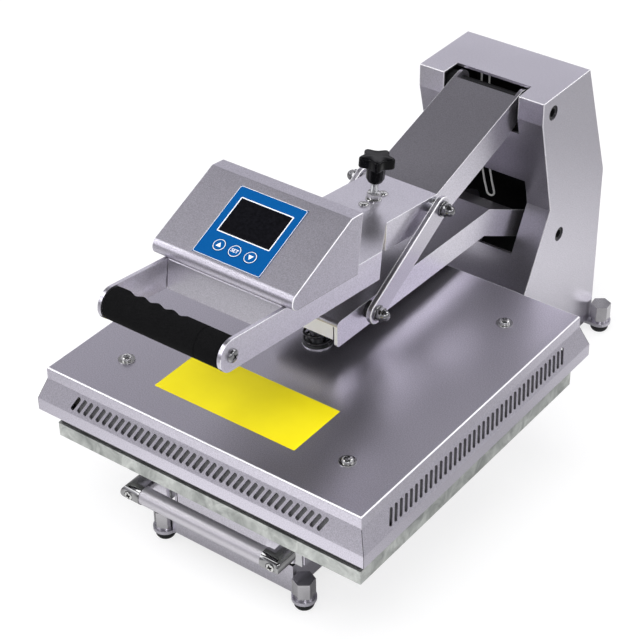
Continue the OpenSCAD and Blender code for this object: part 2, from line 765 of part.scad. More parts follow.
// control box: folded sheet with a rolled nose, standing on the lever plate
module box_profile(d) {
    t = [sin(face_a), cos(face_a)];
    fc = [-t[0], t[1]];
    polygon([[box_back - d, box_foot - (d > 0 ? 5 : 0)], [box_back - d, box_top - d],
        [face_v + d * tan(face_a / 2), box_top - d], [nose_v, nose_w] + fc * (box_r - d),
        [nose_v, nose_w], [nose_v, box_foot - (d > 0 ? 5 : 0)]]);
    translate([nose_v, nose_w]) circle(r = box_r - d);
}
box_wall = 1.5;
win = [[-29.5, -61.8], [29.5, -22.4]];
key_y = -76.5;
key_x = [-18, 0.3, 18.6];
module control_box() {
    color([0.68, 0.67, 0.72])
    difference() {
        union() {
            lever() difference() {
                along_x(-box_w / 2, box_w / 2) box_profile(0);
                along_x(-box_w / 2 + box_wall, box_w / 2 - box_wall) box_profile(box_wall);
            }
            lever() difference() {
                box([-60, -128, 0], [60, box_back - 0.5, box_foot + 4]);
                box([-58, -126, -1], [58, box_back - 2.5, box_foot + 5]);
            }
            lever() for (k = [-1, 1]) on_side(k) box([59, -128, box_foot + 1], [box_w / 2 - 1, box_back - 0.5, box_foot + 3]);
        }
        on_face() box([win[0][0] - 0.4, win[0][1] - 0.4, -5], [win[1][0] + 0.4, win[1][1] + 0.4, 5]);
        on_face() for (x = key_x) translate([x, key_y, -5]) cylinder(r = 7, h = 10);
    }
}
module membrane() {
    color([0, 0.35, 0.66])
    on_face()
    difference() {
        box([-39.5, -92, 0], [39.5, -9.5, 0.6]);
        box([win[0][0] - 0.4, win[0][1] - 0.4, -5], [win[1][0] + 0.4, win[1][1] + 0.4, 5]);
        for (x = key_x) translate([x, key_y, -5]) cylinder(r = 7, h = 10);
    }
}
module display_window() {
    color([0.02, 0.02, 0.03])
    on_face()
    union() {
        box([win[0][0], win[0][1], -7.8], [win[1][0], win[1][1], 0.9]);
    }
}
module key(i) {
    color([0.05, 0.4, 0.72])
    on_face()
    translate([key_x[i], key_y, 0])
    union() {
        translate([0, 0, -1]) cylinder(r = 6.6, h = 2.2);
        translate([0, 0, -6]) cylinder(r = 3, h = 5.2, $fn = 24);
    }
}
module key_up() { key(0); }
module key_set() { key(1); }
module key_down() { key(2); }
board_w = 120;
board_low = 88;
board_high = 12;
board_back = 9.4;
board_t = 1.6;
module control_board() {
    color([0.1, 0.35, 0.18])
    on_face()
    union() {
        box([-board_w / 2, -board_low, -board_back], [board_w / 2, -board_high, board_t - board_back]);
        for (x = [-54, 54], y = [-70, -18]) translate([x, y, -8]) cylinder(r = 3, h = 8 - box_wall, $fn = 24);
    }
}

// drawer: carriage on the moving slide members, lower platen with its pad, pull tube
car_front = -half + 18;
car_y0 = base_front;
module carriage() {
    color([0.25, 0.25, 0.27])
    union() {
        box([-half + 70, car_front, deck_z - 4], [half - 70, base_front + slide_l, deck_z]);
        for (s = [-1, 1]) on_side(s)
        union() {
            box([slide_o, car_y0, slide_z - 15], [slide_o + 3, base_front + slide_l, deck_z - 3]);
            box([pull_x - 14, car_front, pull_z - 12], [pull_x + 20, car_front + 4, deck_z - 3]);
        }
    }
}
module slide_moving(s) {
    color([0.8, 0.81, 0.82])
    on_side(s)
    union() {
        box([slide_o - 1.5, base_front - 1.5, slide_z - 13], [slide_o, base_front + slide_l, slide_z + 13]);
        box([fw + 0.8, base_front - 1.5, slide_z - 17.5], [slide_o, base_front - 0.3, slide_z + 13]);
        for (k = [-1, 1])
        box([fw + 3, base_front - 1.5, slide_z + k * 12.25 - 0.75], [slide_o, base_front + slide_l, slide_z + k * 12.25 + 0.75]);
    }
}
module slide_moving_l() { slide_moving(-1); }
module slide_moving_r() { slide_moving(1); }
module lower_platen() {
    color([0.73, 0.75, 0.73])
    slab(half, plat_r, deck_z, plat_top);
}
module silicone_pad() {
    color([0.16, 0.16, 0.17])
    slab(half - 2, plat_r, plat_top, pad_top);
}
pull_p = [-half, pull_z];
pull_x = fw - 1.8;
elbow_r = pull_d / 2 + 0.7;
elbow_x = pull_x + 13;
mitre = elbow_r + 1.5;
module pull_tube() {
    color([0.82, 0.82, 0.86])
    difference() {
        rod_x(pull_p, pull_d / 2, -pull_x - 8, pull_x + 8);
        rod_x(pull_p, pull_d / 2 - 1.5, -pull_x - 9, pull_x + 9);
    }
}
// mitred bend: both legs end at the corner's centre, and what they have in common beyond it is the outer corner
module pull_elbow(s) {
    color([0.85, 0.85, 0.87])
    on_side(s)
    difference() {
        union() {
            rod_x(pull_p, elbow_r, pull_x, elbow_x);
            translate([elbow_x, car_front, pull_z]) rotate([90, 0, 0]) cylinder(r = elbow_r, h = half + car_front);
            intersection() {
                rod_x(pull_p, elbow_r, elbow_x - mitre, elbow_x + mitre);
                translate([elbow_x, -half + mitre, pull_z]) rotate([90, 0, 0]) cylinder(r = elbow_r, h = 2 * mitre);
            }
        }
        rod_x(pull_p, pull_d / 2 + fit, pull_x - 1, pull_x + 8);
        translate([elbow_x, -half - elbow_r - 1, pull_z]) rotate([-90, 0, 0]) cylinder(r = 3 + fit, h = 60, $fn = 24);
        translate([elbow_x, -half - elbow_r - 1, pull_z]) rotate([-90, 0, 0]) cylinder(r = 5 + 0.3, h = 4.6);
    }
}
module pull_elbow_l() { pull_elbow(-1); }
module pull_elbow_r() { pull_elbow(1); }
module pull_screw(s) {
    color([0.3, 0.3, 0.32])
    on_side(s)
    translate([elbow_x, -half - elbow_r + 0.4, pull_z])
    rotate([-90, 0, 0])
    difference() {
        union() {
            cylinder(r = 5, h = 3.2);
            cylinder(r = 3, h = elbow_r + 17.4, $fn = 24);
        }
        translate([0, 0, -1]) hex(2.9, 3.4);
    }
}
module pull_screw_l() { pull_screw(-1); }
module pull_screw_r() { pull_screw(1); }

base_channel();
tower_housing();
foot_fl();
foot_fr();
foot_bl();
foot_br();
upper_shaft();
lower_shaft();
power_entry();
rocker();
lead_wire();
slide_fixed_l();
slide_fixed_r();
lower_arm();
link_pin();
head_post();
spring_washer();
head_spring();
cover_shell();
cover_screw_fl();
cover_screw_fr();
cover_screw_bl();
cover_screw_br();
heat_platen();
heater();
insulation();
lever_frame();
lever_pin();
lever_nut_l();
lever_nut_r();
link_l();
link_r();
link_nut_l();
link_nut_r();
knob();
knob_rod();
rod_nut();
plate_screw_f();
plate_screw_b();
grip_rod();
foam_grip();
grip_screw_l();
grip_screw_r();
control_box();
membrane();
display_window();
key_up();
key_set();
key_down();
control_board();
carriage();
slide_moving_l();
slide_moving_r();
lower_platen();
silicone_pad();
pull_tube();
pull_elbow_l();
pull_elbow_r();
pull_screw_l();
pull_screw_r();
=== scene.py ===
import bmesh
import bpy
import math
from mathutils import Matrix, Vector


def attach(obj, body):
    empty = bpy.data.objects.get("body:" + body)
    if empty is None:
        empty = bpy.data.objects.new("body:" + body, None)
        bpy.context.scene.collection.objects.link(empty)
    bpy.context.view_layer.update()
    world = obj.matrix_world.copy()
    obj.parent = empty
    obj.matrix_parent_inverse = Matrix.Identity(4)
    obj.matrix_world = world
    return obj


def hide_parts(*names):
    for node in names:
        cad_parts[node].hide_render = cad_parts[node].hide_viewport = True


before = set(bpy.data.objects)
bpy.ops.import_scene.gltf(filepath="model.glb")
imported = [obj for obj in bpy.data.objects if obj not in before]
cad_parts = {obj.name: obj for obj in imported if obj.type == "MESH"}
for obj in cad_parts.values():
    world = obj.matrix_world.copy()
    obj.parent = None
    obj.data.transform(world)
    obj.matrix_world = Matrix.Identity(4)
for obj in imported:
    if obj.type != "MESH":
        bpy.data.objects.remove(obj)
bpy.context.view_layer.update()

# Camera at the photograph's place: a long lens from the front right, looking down on the press.
# The frame is square, so the lens is given for its full width.
MM = 0.001
CAMERA_AIM, CAMERA_REACH, CAMERA_LENS = Vector((-17.32, 27.31, 204.78)) * MM, 1.97763, 108.24
azimuth, elevation, roll = (math.radians(angle) for angle in (37.11, 35.45, -0.79))
towards = Vector((math.sin(azimuth) * math.cos(elevation), -math.cos(azimuth) * math.cos(elevation),
                  math.sin(elevation)))
level = Vector((math.cos(azimuth), math.sin(azimuth), 0))
upright = towards.cross(level)
across = level * math.cos(roll) + upright * math.sin(roll)
raised = upright * math.cos(roll) - level * math.sin(roll)
camera = bpy.data.objects.new("camera", bpy.data.cameras.new("camera"))
bpy.context.scene.collection.objects.link(camera)
camera.data.sensor_width = 36
camera.data.lens = CAMERA_LENS
camera.data.clip_start, camera.data.clip_end = 0.05, 60
camera_turn = Matrix((across, raised, towards)).transposed().to_4x4()
camera.matrix_world = Matrix.Translation(CAMERA_AIM + towards * CAMERA_REACH) @ camera_turn
bpy.context.scene.camera = camera
bpy.context.scene.view_settings.view_transform = "Standard"

# Studio: a pale paper floor that is white to the lens and keeps the shadow. In the metal it glows with painted
# light, bright in front of and behind the press and grey far off, and shows a painted shadow below it. The
# world has a bright belt above the horizon, and soft boxes stand all round.
FLOOR_SIDE, FLOOR_SHARE, FLOOR_TO_LENS = 14, 0.66, 1.13
FRONT_SPOT, BACK_SPOT, BACK_SPOT_LESS = (0.02, -0.40, 0), (0.24, 0.52, 0), 0.22
SPOT_EDGE, SPOT_END, SPOT_GLOW, FAR_GLOW = 0.17, 0.52, 1.3, 0.36
BELOW_X, BELOW_Y, BELOW_MIDDLE = 0.15, 0.27, 0.11
BELOW_EDGE, BELOW_END, BELOW_GLOW = -0.03, 0.08, 0.1
bm = bmesh.new()
bmesh.ops.create_grid(bm, x_segments=1, y_segments=1, size=FLOOR_SIDE / 2)
floor_mesh = bpy.data.meshes.new("floor")
bm.to_mesh(floor_mesh)
bm.free()
floor = bpy.data.objects.new("floor", floor_mesh)
bpy.context.scene.collection.objects.link(floor)
floor_paper = bpy.data.materials.new("floor_paper")
floor_paper.use_nodes = True
tree = floor_paper.node_tree
paper = tree.nodes["Principled BSDF"]
paper.inputs["Base Color"].default_value = (0.86, 0.86, 0.86, 1)
paper.inputs["Roughness"].default_value = 0.9
floor_coords = tree.nodes.new("ShaderNodeTexCoord").outputs["Object"]


def sum_node(tree, kind, *values):
    """The output of a math node that is fed by outputs and numbers."""
    node = tree.nodes.new("ShaderNodeMath")
    node.operation = kind
    for socket, value in zip(node.inputs, values):
        if isinstance(value, (int, float)):
            socket.default_value = value
        else:
            tree.links.new(value, socket)
    return node.outputs[0]


def spread_node(tree, value, *limits):
    """The output of a map range node from two limits to two levels."""
    node = tree.nodes.new("ShaderNodeMapRange")
    for label, limit in zip(("From Min", "From Max", "To Min", "To Max"), limits):
        node.inputs[label].default_value = limit
    tree.links.new(value, node.inputs["Value"])
    return node.outputs["Result"]


# The glow seen in the metal is painted light, and its dark patch under the press is a painted shadow.
reaches = []
for spot in (FRONT_SPOT, BACK_SPOT):
    reach = tree.nodes.new("ShaderNodeVectorMath")
    reach.operation = "DISTANCE"
    reach.inputs[1].default_value = spot
    tree.links.new(floor_coords, reach.inputs[0])
    reaches.append(reach.outputs["Value"])
nearest = sum_node(tree, "MINIMUM", reaches[0], sum_node(tree, "ADD", reaches[1], BACK_SPOT_LESS))
lit = spread_node(tree, nearest, SPOT_EDGE, SPOT_END, SPOT_GLOW, FAR_GLOW)
axes = tree.nodes.new("ShaderNodeSeparateXYZ")
tree.links.new(floor_coords, axes.inputs[0])
past_x = sum_node(tree, "SUBTRACT", sum_node(tree, "ABSOLUTE", axes.outputs["X"]), BELOW_X)
off_middle = sum_node(tree, "ABSOLUTE", sum_node(tree, "SUBTRACT", axes.outputs["Y"], BELOW_MIDDLE))
past_y = sum_node(tree, "SUBTRACT", off_middle, BELOW_Y)
clear = spread_node(tree, sum_node(tree, "MAXIMUM", past_x, past_y), BELOW_EDGE, BELOW_END, BELOW_GLOW, 1)
rays = tree.nodes.new("ShaderNodeLightPath")
glow_level = tree.nodes.new("ShaderNodeMix")
glow_level.data_type = "FLOAT"
glow_level.inputs[3].default_value = FLOOR_TO_LENS
tree.links.new(rays.outputs["Is Camera Ray"], glow_level.inputs[0])
tree.links.new(sum_node(tree, "MULTIPLY", lit, clear), glow_level.inputs[2])
glow = tree.nodes.new("ShaderNodeEmission")
tree.links.new(glow_level.outputs[0], glow.inputs["Strength"])
seen = sum_node(tree, "MAXIMUM", rays.outputs["Is Camera Ray"], rays.outputs["Is Glossy Ray"])
seen = sum_node(tree, "MAXIMUM", seen, rays.outputs["Is Transmission Ray"])
blend = tree.nodes.new("ShaderNodeMixShader")
tree.links.new(sum_node(tree, "MULTIPLY", seen, FLOOR_SHARE), blend.inputs[0])
tree.links.new(paper.outputs[0], blend.inputs[1])
tree.links.new(glow.outputs[0], blend.inputs[2])
tree.links.new(blend.outputs[0], tree.nodes["Material Output"].inputs["Surface"])
floor_mesh.materials.append(floor_paper)

HORIZON, ZENITH = (0.20, 0.197, 0.214, 1), (0.08, 0.079, 0.085, 1)
BELT = ((0.16, 0.4), (0.34, 0.88), (0.42, 1.3), (0.47, 1.15), (0.53, 0.42), (0.58, 0.24), (0.66, 0.4),
        (0.76, 0.15), (0.84, 0.06))
BELT_GREEN, BELT_BLUE = 0.988, 1.055
world = bpy.data.worlds.new("studio")
bpy.context.scene.world = world
world.use_nodes = True
tree = world.node_tree
room = tree.nodes["Background"]
room.inputs["Strength"].default_value = 1.0
height = tree.nodes.new("ShaderNodeSeparateXYZ")
tree.links.new(tree.nodes.new("ShaderNodeTexCoord").outputs["Generated"], height.inputs[0])
sky = tree.nodes.new("ShaderNodeValToRGB")
sky.color_ramp.elements[0].position, sky.color_ramp.elements[0].color = 0.0, HORIZON
sky.color_ramp.elements[1].position, sky.color_ramp.elements[1].color = 1.0, ZENITH
for up, shade in BELT:
    sky.color_ramp.elements.new(up).color = (shade, shade * BELT_GREEN, shade * BELT_BLUE, 1)
tree.links.new(height.outputs["Z"], sky.inputs[0])
tree.links.new(sky.outputs[0], room.inputs["Color"])
backdrop = tree.nodes.new("ShaderNodeBackground")
backdrop.inputs["Color"].default_value = (1, 1, 1, 1)
rays = tree.nodes.new("ShaderNodeLightPath")
behind = tree.nodes.new("ShaderNodeMixShader")
tree.links.new(rays.outputs["Is Camera Ray"], behind.inputs[0])
tree.links.new(room.outputs[0], behind.inputs[1])
tree.links.new(backdrop.outputs[0], behind.inputs[2])
tree.links.new(behind.outputs[0], tree.nodes["World Output"].inputs["Surface"])

LAMP_AIM = Vector((0, 0.1, 0.2))
for name, spot, width, rise, power, in_metal in (
    ("key_box", (-1.7, -1.2, 2.7), 1.15, 1.15, 16, True),
    ("front_box", (-1.5, -2.3, 1.7), 0.9, 0.9, 6, True),
    ("rear_box", (0.95, 2.05, 2.25), 0.6, 1.8, 12, True),
    ("side_box", (1.5, -1.45, 1.75), 0.35, 0.35, 4, True),
    ("high_box", (2.5, 0.8, 2.1), 0.8, 0.8, 6, True),
    ("overhead", (0.3, -0.9, 3.2), 2.6, 2.6, 92, False),
    ("front_fill", (0.6, -2.6, 0.8), 1.4, 1.4, 8, False),
):
    lamp = bpy.data.lights.new(name, "AREA")
    lamp.shape, lamp.size, lamp.size_y, lamp.energy = "RECTANGLE", width, rise, power
    soft_box = bpy.data.objects.new(name, lamp)
    bpy.context.scene.collection.objects.link(soft_box)
    soft_box.location = spot
    soft_box.visible_glossy = in_metal
    soft_box.rotation_mode = "QUATERNION"
    soft_box.rotation_quaternion = (LAMP_AIM - Vector(spot)).to_track_quat("-Z", "Y")

# Loop of white lead wire: sleeved copper that hangs leaning inside the tower's window,
# its two ends fixed under the tower's top plate.
WIRE_D, WIRE_TURN, WIRE_LEAN, WIRE_FOOT = 2.4 * MM, 5 * MM, 13 * MM, -9.5 * MM
WIRE_TOP, WIRE_LOW, WIRE_Y = 363.4 * MM, 206.1 * MM, 340 * MM
LEG_STEPS, BEND_STEPS = 13, (24, 48, 72, 96, 120, 144)


def wire_point(share, swing):
    """A point of the loop at a share of its height and at an angle round its bend from the left leg."""
    middle = Vector((WIRE_FOOT - WIRE_LEAN * (1 - (1 - share) ** 4), WIRE_LOW + (WIRE_TOP - WIRE_LOW) * share))
    rising = Vector((-4 * WIRE_LEAN * (1 - share) ** 3, WIRE_TOP - WIRE_LOW)).normalized()
    left = Vector((-rising.y, rising.x))
    return middle + WIRE_TURN * (math.cos(swing) * left - math.sin(swing) * rising)


leg_shares = [i / LEG_STEPS for i in range(LEG_STEPS + 1)]
wire_route = [wire_point(share, 0) for share in reversed(leg_shares)]
wire_route += [wire_point(0, math.radians(turn)) for turn in BEND_STEPS]
wire_route += [wire_point(share, math.pi) for share in leg_shares]
wire_curve = bpy.data.curves.new("wire_loop", "CURVE")
wire_curve.dimensions = "3D"
wire_curve.bevel_depth = WIRE_D / 2
wire_curve.bevel_resolution = 3
wire_curve.use_fill_caps = True
strand = wire_curve.splines.new("POLY")
strand.points.add(len(wire_route) - 1)
for point, (x, z) in zip(strand.points, wire_route):
    point.co = (x, WIRE_Y, z, 1)
wire_loop = bpy.data.objects.new("wire_loop", wire_curve)
bpy.context.scene.collection.objects.link(wire_loop)


def material(name, roughness, metallic=0.0):
    """A new material with its shader and its Object coordinates."""
    made = bpy.data.materials.new(name)
    made.use_nodes = True
    shader = made.node_tree.nodes["Principled BSDF"]
    shader.inputs["Roughness"].default_value = roughness
    shader.inputs["Metallic"].default_value = metallic
    coords = made.node_tree.nodes.new("ShaderNodeTexCoord")
    return made, made.node_tree, shader, coords.outputs["Object"]


def surface_group():
    """Grain, soft clouding and a height for bump: the unevenness that every finish here has."""
    group = bpy.data.node_groups.new("surface_grain", "ShaderNodeTree")
    for label, kind in (("Vector", "NodeSocketVector"), ("Grain Scale", "NodeSocketFloat"),
                        ("Cloud Scale", "NodeSocketFloat")):
        group.interface.new_socket(label, in_out="INPUT", socket_type=kind)
    for label in ("Grain", "Cloud", "Height"):
        group.interface.new_socket(label, in_out="OUTPUT", socket_type="NodeSocketFloat")
    start, end = group.nodes.new("NodeGroupInput"), group.nodes.new("NodeGroupOutput")
    fine, cloud = group.nodes.new("ShaderNodeTexNoise"), group.nodes.new("ShaderNodeTexNoise")
    fine.inputs["Detail"].default_value = 2
    cloud.inputs["Detail"].default_value = 4
    for noise, label in ((fine, "Grain"), (cloud, "Cloud")):
        group.links.new(start.outputs["Vector"], noise.inputs["Vector"])
        group.links.new(start.outputs[label + " Scale"], noise.inputs["Scale"])
        group.links.new(spread_node(group, noise.outputs["Fac"], 0.32, 0.68), end.inputs[label])
    group.links.new(fine.outputs["Fac"], end.inputs["Height"])
    return group


surface_grain = surface_group()


def finish(name, dark, light, roughness, metallic=0.0, grain=900, cloud=14, spread=0.05, bump=0.05,
           by="Grain", shine=0.5):
    """A finish whose colour runs between two tones with the grain or the clouding."""
    made, tree, shader, coords = material(name, roughness, metallic)
    shader.inputs["Specular IOR Level"].default_value = shine
    unevenness = tree.nodes.new("ShaderNodeGroup")
    unevenness.node_tree = surface_grain
    unevenness.inputs["Grain Scale"].default_value = grain
    unevenness.inputs["Cloud Scale"].default_value = cloud
    tree.links.new(coords, unevenness.inputs["Vector"])
    tones = tree.nodes.new("ShaderNodeMix")
    tones.name = "tones"
    tones.data_type = "RGBA"
    tones.inputs[6].default_value = (*dark, 1)
    tones.inputs[7].default_value = (*light, 1)
    tree.links.new(unevenness.outputs[by], tones.inputs[0])
    tree.links.new(tones.outputs[2], shader.inputs["Base Color"])
    gloss = spread_node(tree, unevenness.outputs["Cloud"], 0, 1, roughness - spread, roughness + spread)
    tree.links.new(gloss, shader.inputs["Roughness"])
    relief = tree.nodes.new("ShaderNodeBump")
    relief.inputs["Strength"].default_value = bump
    relief.inputs["Distance"].default_value = 0.3 * MM
    tree.links.new(unevenness.outputs["Height"], relief.inputs["Height"])
    tree.links.new(relief.outputs["Normal"], shader.inputs["Normal"])
    return made


wire_sleeve = finish("wire_sleeve", (0.74, 0.74, 0.71), (0.86, 0.86, 0.83), 0.45, grain=700, bump=0.05)
wire_curve.materials.append(wire_sleeve)
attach(wire_loop, "frame")
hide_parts("lead_wire")

# Base and tower: steel sheet, folded and welded, in silver metallic paint, with painted shade on the
# tower's front and painted highlights on its folds. Bare hexagon posts stand on the lugs of the feet,
# and the insides are painted near black as painted shade.
SHEET_FOLD, TOWER_FOLD, PROBE = 1.3 * MM, 2.2 * MM, 14 * MM
INNER_X, TOWER_FRONT, TOWER_BACK, TOWER_FLOOR, TOWER_TOP = 75.9 * MM, 262 * MM, 436 * MM, 10 * MM, 364 * MM
BROW_Y, BROW_Z, CHIN_Z, CHIN_SLOPE = 297 * MM, 340 * MM, 98 * MM, 0.5
BACK_BEND_Z, BACK_SLOPE = 219 * MM, 0.332
BASE_FRONT, BASE_TOP, POST_X, POST_Z = -147 * MM, 95 * MM, 79.2 * MM, 14.05 * MM


def sheet_paint(name, dark, light, roughness=0.3, metallic=0.93, bump=0.07):
    """The metallic paint of the sheet pieces in one of its tones, or in a lighter or darker copy that carries
    painted light or shade.
    """
    return finish(name, dark, light, roughness, metallic, grain=950, cloud=9, spread=0.025, bump=bump)


def round_off(bm, edges, radius, segments, clamp=False):
    """Rounds edges of a bmesh and gives back the new faces."""
    return bmesh.ops.bevel(bm, geom=edges, offset=radius, offset_type="OFFSET", affect="EDGES",
                           segments=segments, profile=0.5, material=-1, clamp_overlap=clamp)["faces"]


SHARP_FOLD, LONG_FOLD, LARGE_SIDE = math.radians(60), 25 * MM, 100 * MM * MM
FACE_TO_RADIUS, NEARLY_FLAT = 2.2, 0.05


def wide_enough(edge, radius):
    """Whether both faces of an edge leave room for its rounding."""
    return all(f.calc_area() > FACE_TO_RADIUS * radius * edge.calc_length() for f in edge.link_faces)


def rounded(node, radius, segments=3, shortest=6 * MM, corner=28, outer=False, fold=0, strip=0, outline=False):
    """A copy of a solid as a bmesh with its longer edges rounded, or its outer ones only. With a fold
    radius its main folds, or the outline of its two sides, are rounded first. The strips that show
    get the material index that is given."""
    bm = bmesh.new()
    bm.from_mesh(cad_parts[node].data)
    bmesh.ops.remove_doubles(bm, verts=bm.verts, dist=4e-6)
    bmesh.ops.dissolve_limit(bm, angle_limit=math.radians(0.6), verts=bm.verts, edges=bm.edges)
    for face in bm.faces:
        face.material_index = 0
    middle = sum((v.co for v in bm.verts), Vector()) / len(bm.verts)
    rolled = set()
    if fold:
        folds = [e for e in bm.edges if e.is_manifold and e.is_convex and e.calc_face_angle(0) > SHARP_FOLD]
        if outline:
            sides = {f for f in bm.faces if abs(f.normal.x) > 0.3 and f.calc_area() > LARGE_SIDE
                     and f.calc_center_median().x * f.normal.x > 0}
            folds = [e for e in folds if len(sides.intersection(e.link_faces)) == 1]
        else:
            folds = [e for e in folds if e.calc_length() > LONG_FOLD and wide_enough(e, fold)]
        rolled = set(round_off(bm, folds, fold, 5, clamp=True))
        for face in rolled:
            face.material_index = strip
    edges = [e for e in bm.edges if e.is_manifold and e.calc_length() > shortest
             and e.calc_face_angle(0) > math.radians(corner) and not rolled.intersection(e.link_faces)
             and wide_enough(e, radius)]
    if outer:
        edges = [e for e in edges if e.is_convex
                 and all((f.calc_center_median() - middle).dot(f.normal) > 0 for f in e.link_faces)]
    strips = round_off(bm, edges, radius, segments, clamp=True)
    for face in () if fold else strips:
        if all(e.is_convex for e in face.edges if e.calc_face_angle(0) > NEARLY_FLAT):
            face.material_index = strip
    return bm


def show(name, bm, body, look, nodes=(), sharp=34):
    """Makes a finished piece of a bmesh, with its body, slot and the solids that it stands for."""
    mesh = bpy.data.meshes.new(name)
    bm.to_mesh(mesh)
    bm.free()
    mesh.shade_smooth()
    mesh.set_sharp_from_angle(angle=math.radians(sharp))
    for one in look if isinstance(look, tuple) else (look,):
        mesh.materials.append(one)
    made = bpy.data.objects.new(name, mesh)
    bpy.context.scene.collection.objects.link(made)
    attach(made, body)
    if nodes:
        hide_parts(*nodes)
    return made


def even_shading(made):
    """Keeps the flats of a piece flat beside their rounded edges."""
    made.modifiers.new("flats", "WEIGHTED_NORMAL").keep_sharp = True


silver_paint = sheet_paint("silver_paint", (0.505, 0.488, 0.54), (0.665, 0.644, 0.71))
# Painted shade: a darker copy of the silver paint for the tower's front faces.
painted_front_shade = sheet_paint("painted_front_shade", (0.37, 0.357, 0.395), (0.487, 0.471, 0.52))
# Painted highlight: a bright paint for the rounded strips on the tower's folds.
painted_fold_highlight = sheet_paint("painted_fold_highlight", (0.70, 0.69, 0.72), (0.78, 0.77, 0.80), 0.28, 0.45, 0.03)
# Painted shade: near black for the insides of base and tower and for a shadow line on the control box.
shade_paint = finish("shade_paint", (0.008, 0.008, 0.009), (0.016, 0.016, 0.018), 0.7, grain=600, bump=0.05)
post_steel = finish("post_steel", (0.50, 0.49, 0.51), (0.60, 0.59, 0.61), 0.2, 1.0, grain=500, cloud=50,
                    bump=0.03, by="Cloud")
base_looks = (silver_paint, shade_paint, post_steel)
tower_looks = base_looks + (painted_fold_highlight, painted_front_shade)
tower_bm = rounded("tower_housing", SHEET_FOLD, corner=12, fold=TOWER_FOLD, strip=tower_looks.index(painted_fold_highlight))
base_bm = rounded("base_channel", SHEET_FOLD)
# Faces inside the tower get the painted shade, and its front faces the darker painted shade.
for face in tower_bm.faces:
    ahead = face.calc_center_median() + face.normal * PROBE
    inside = (abs(ahead.x) < INNER_X and TOWER_FRONT < ahead.y < TOWER_BACK
              and TOWER_FLOOR < ahead.z < TOWER_TOP)
    front_y = BROW_Y if ahead.z > BROW_Z else TOWER_FRONT + abs(ahead.z - CHIN_Z) * CHIN_SLOPE
    back_y = TOWER_BACK - max(0, ahead.z - BACK_BEND_Z) * BACK_SLOPE
    if inside and front_y < ahead.y < back_y:
        face.material_index = tower_looks.index(shade_paint)
    elif face.normal.y < -0.7 and face.material_index == 0:
        face.material_index = tower_looks.index(painted_front_shade)
for bm in (tower_bm, base_bm):
    for face in bm.faces:
        middle = face.calc_center_median()
        if abs(middle.x) > POST_X and middle.z > POST_Z:
            face.material_index = base_looks.index(post_steel)
# Faces inside the base get the painted shade.
for face in base_bm.faces:
    ahead = face.calc_center_median() + face.normal * PROBE
    if abs(ahead.x) < INNER_X and BASE_FRONT < ahead.y and 0 < ahead.z < BASE_TOP:
        face.material_index = base_looks.index(shade_paint)
even_shading(show("tower", tower_bm, "frame", tower_looks, ("tower_housing",)))
even_shading(show("base", base_bm, "frame", base_looks, ("base_channel",)))

# Feet: black rubber, moulded with a waist under the lug,
# and screwed up into the four lugs from below.
foot_rubber = finish("foot_rubber", (0.006, 0.006, 0.007), (0.014, 0.014, 0.015), 0.55, grain=1400, bump=0.1,
                     shine=0.3)
FOOT_X, FOOT_FRONT, FOOT_BACK = 90.8, -148, 438.9
FOOT_PROFILE = [(0, 0), (7.2, 0), (8.2, 0.3), (9.1, 1.1), (10.2, 2.8), (10.6, 4.4), (10.6, 8.6), (10.3, 9.1),
                (9.8, 9.3), (9.8, 10), (0, 10)]


def turned(profile, place, steps=48):
    """A turned piece: a profile of (radius, height) points in millimetres spun about its axis."""
    bm = bmesh.new()
    chain = [bm.verts.new((r * MM, 0, z * MM)) for r, z in profile]
    edges = [bm.edges.new(pair) for pair in zip(chain, chain[1:])]
    bmesh.ops.spin(bm, geom=chain + edges, cent=(0, 0, 0), axis=(0, 0, 1), angle=2 * math.pi, steps=steps,
                   use_merge=True)
    bmesh.ops.remove_doubles(bm, verts=bm.verts, dist=1e-6)
    bmesh.ops.recalc_face_normals(bm, faces=bm.faces)
    bm.transform(place)
    return bm


for name, x, y in (("fl", -FOOT_X, FOOT_FRONT), ("fr", FOOT_X, FOOT_FRONT), ("bl", -FOOT_X, FOOT_BACK),
                   ("br", FOOT_X, FOOT_BACK)):
    bm = turned(FOOT_PROFILE, Matrix.Translation((x * MM, y * MM, 0)))
    show("foot_" + name + "_rubber", bm, "frame", foot_rubber, ("foot_" + name,))

# Pivot shafts: blackened steel rods through the tower, with hexagon sockets in their ends
# that lie flush with the tower's sides.
black_steel = finish("black_steel", (0.018, 0.018, 0.02), (0.04, 0.04, 0.043), 0.38, 0.6, grain=800, bump=0.05)


def coat(node, look):
    """Gives a solid that is shown as it is its finish."""
    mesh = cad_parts[node].data
    mesh.materials.clear()
    mesh.materials.append(look)


for node in ("upper_shaft", "lower_shaft"):
    coat(node, black_steel)

# Mains entry in the tower's back: a black moulded shell let into the sheet, with three plated blades
# in its socket, and a red rocker that tilts on pins in the shell.
moulded_black = finish("moulded_black", (0.012, 0.012, 0.013), (0.022, 0.022, 0.024), 0.4, grain=1100, bump=0.08)
nickel = finish("nickel", (0.55, 0.54, 0.5), (0.68, 0.67, 0.63), 0.25, 1.0, grain=500, bump=0.03)
rocker_red = finish("rocker_red", (0.42, 0.012, 0.012), (0.55, 0.02, 0.018), 0.28, grain=900, bump=0.03)
ENTRY_Z, BLADE_Y, BLADE_SIZE = 116.1, 428.6, (2, 12, 4.2)


def block(bm, size, middle):
    """Adds a box of a size round a middle point, both in millimetres."""
    corners = bmesh.ops.create_cube(bm, size=1)["verts"]
    bmesh.ops.scale(bm, vec=Vector(size) * MM, verts=corners)
    bmesh.ops.translate(bm, vec=Vector(middle) * MM, verts=corners)


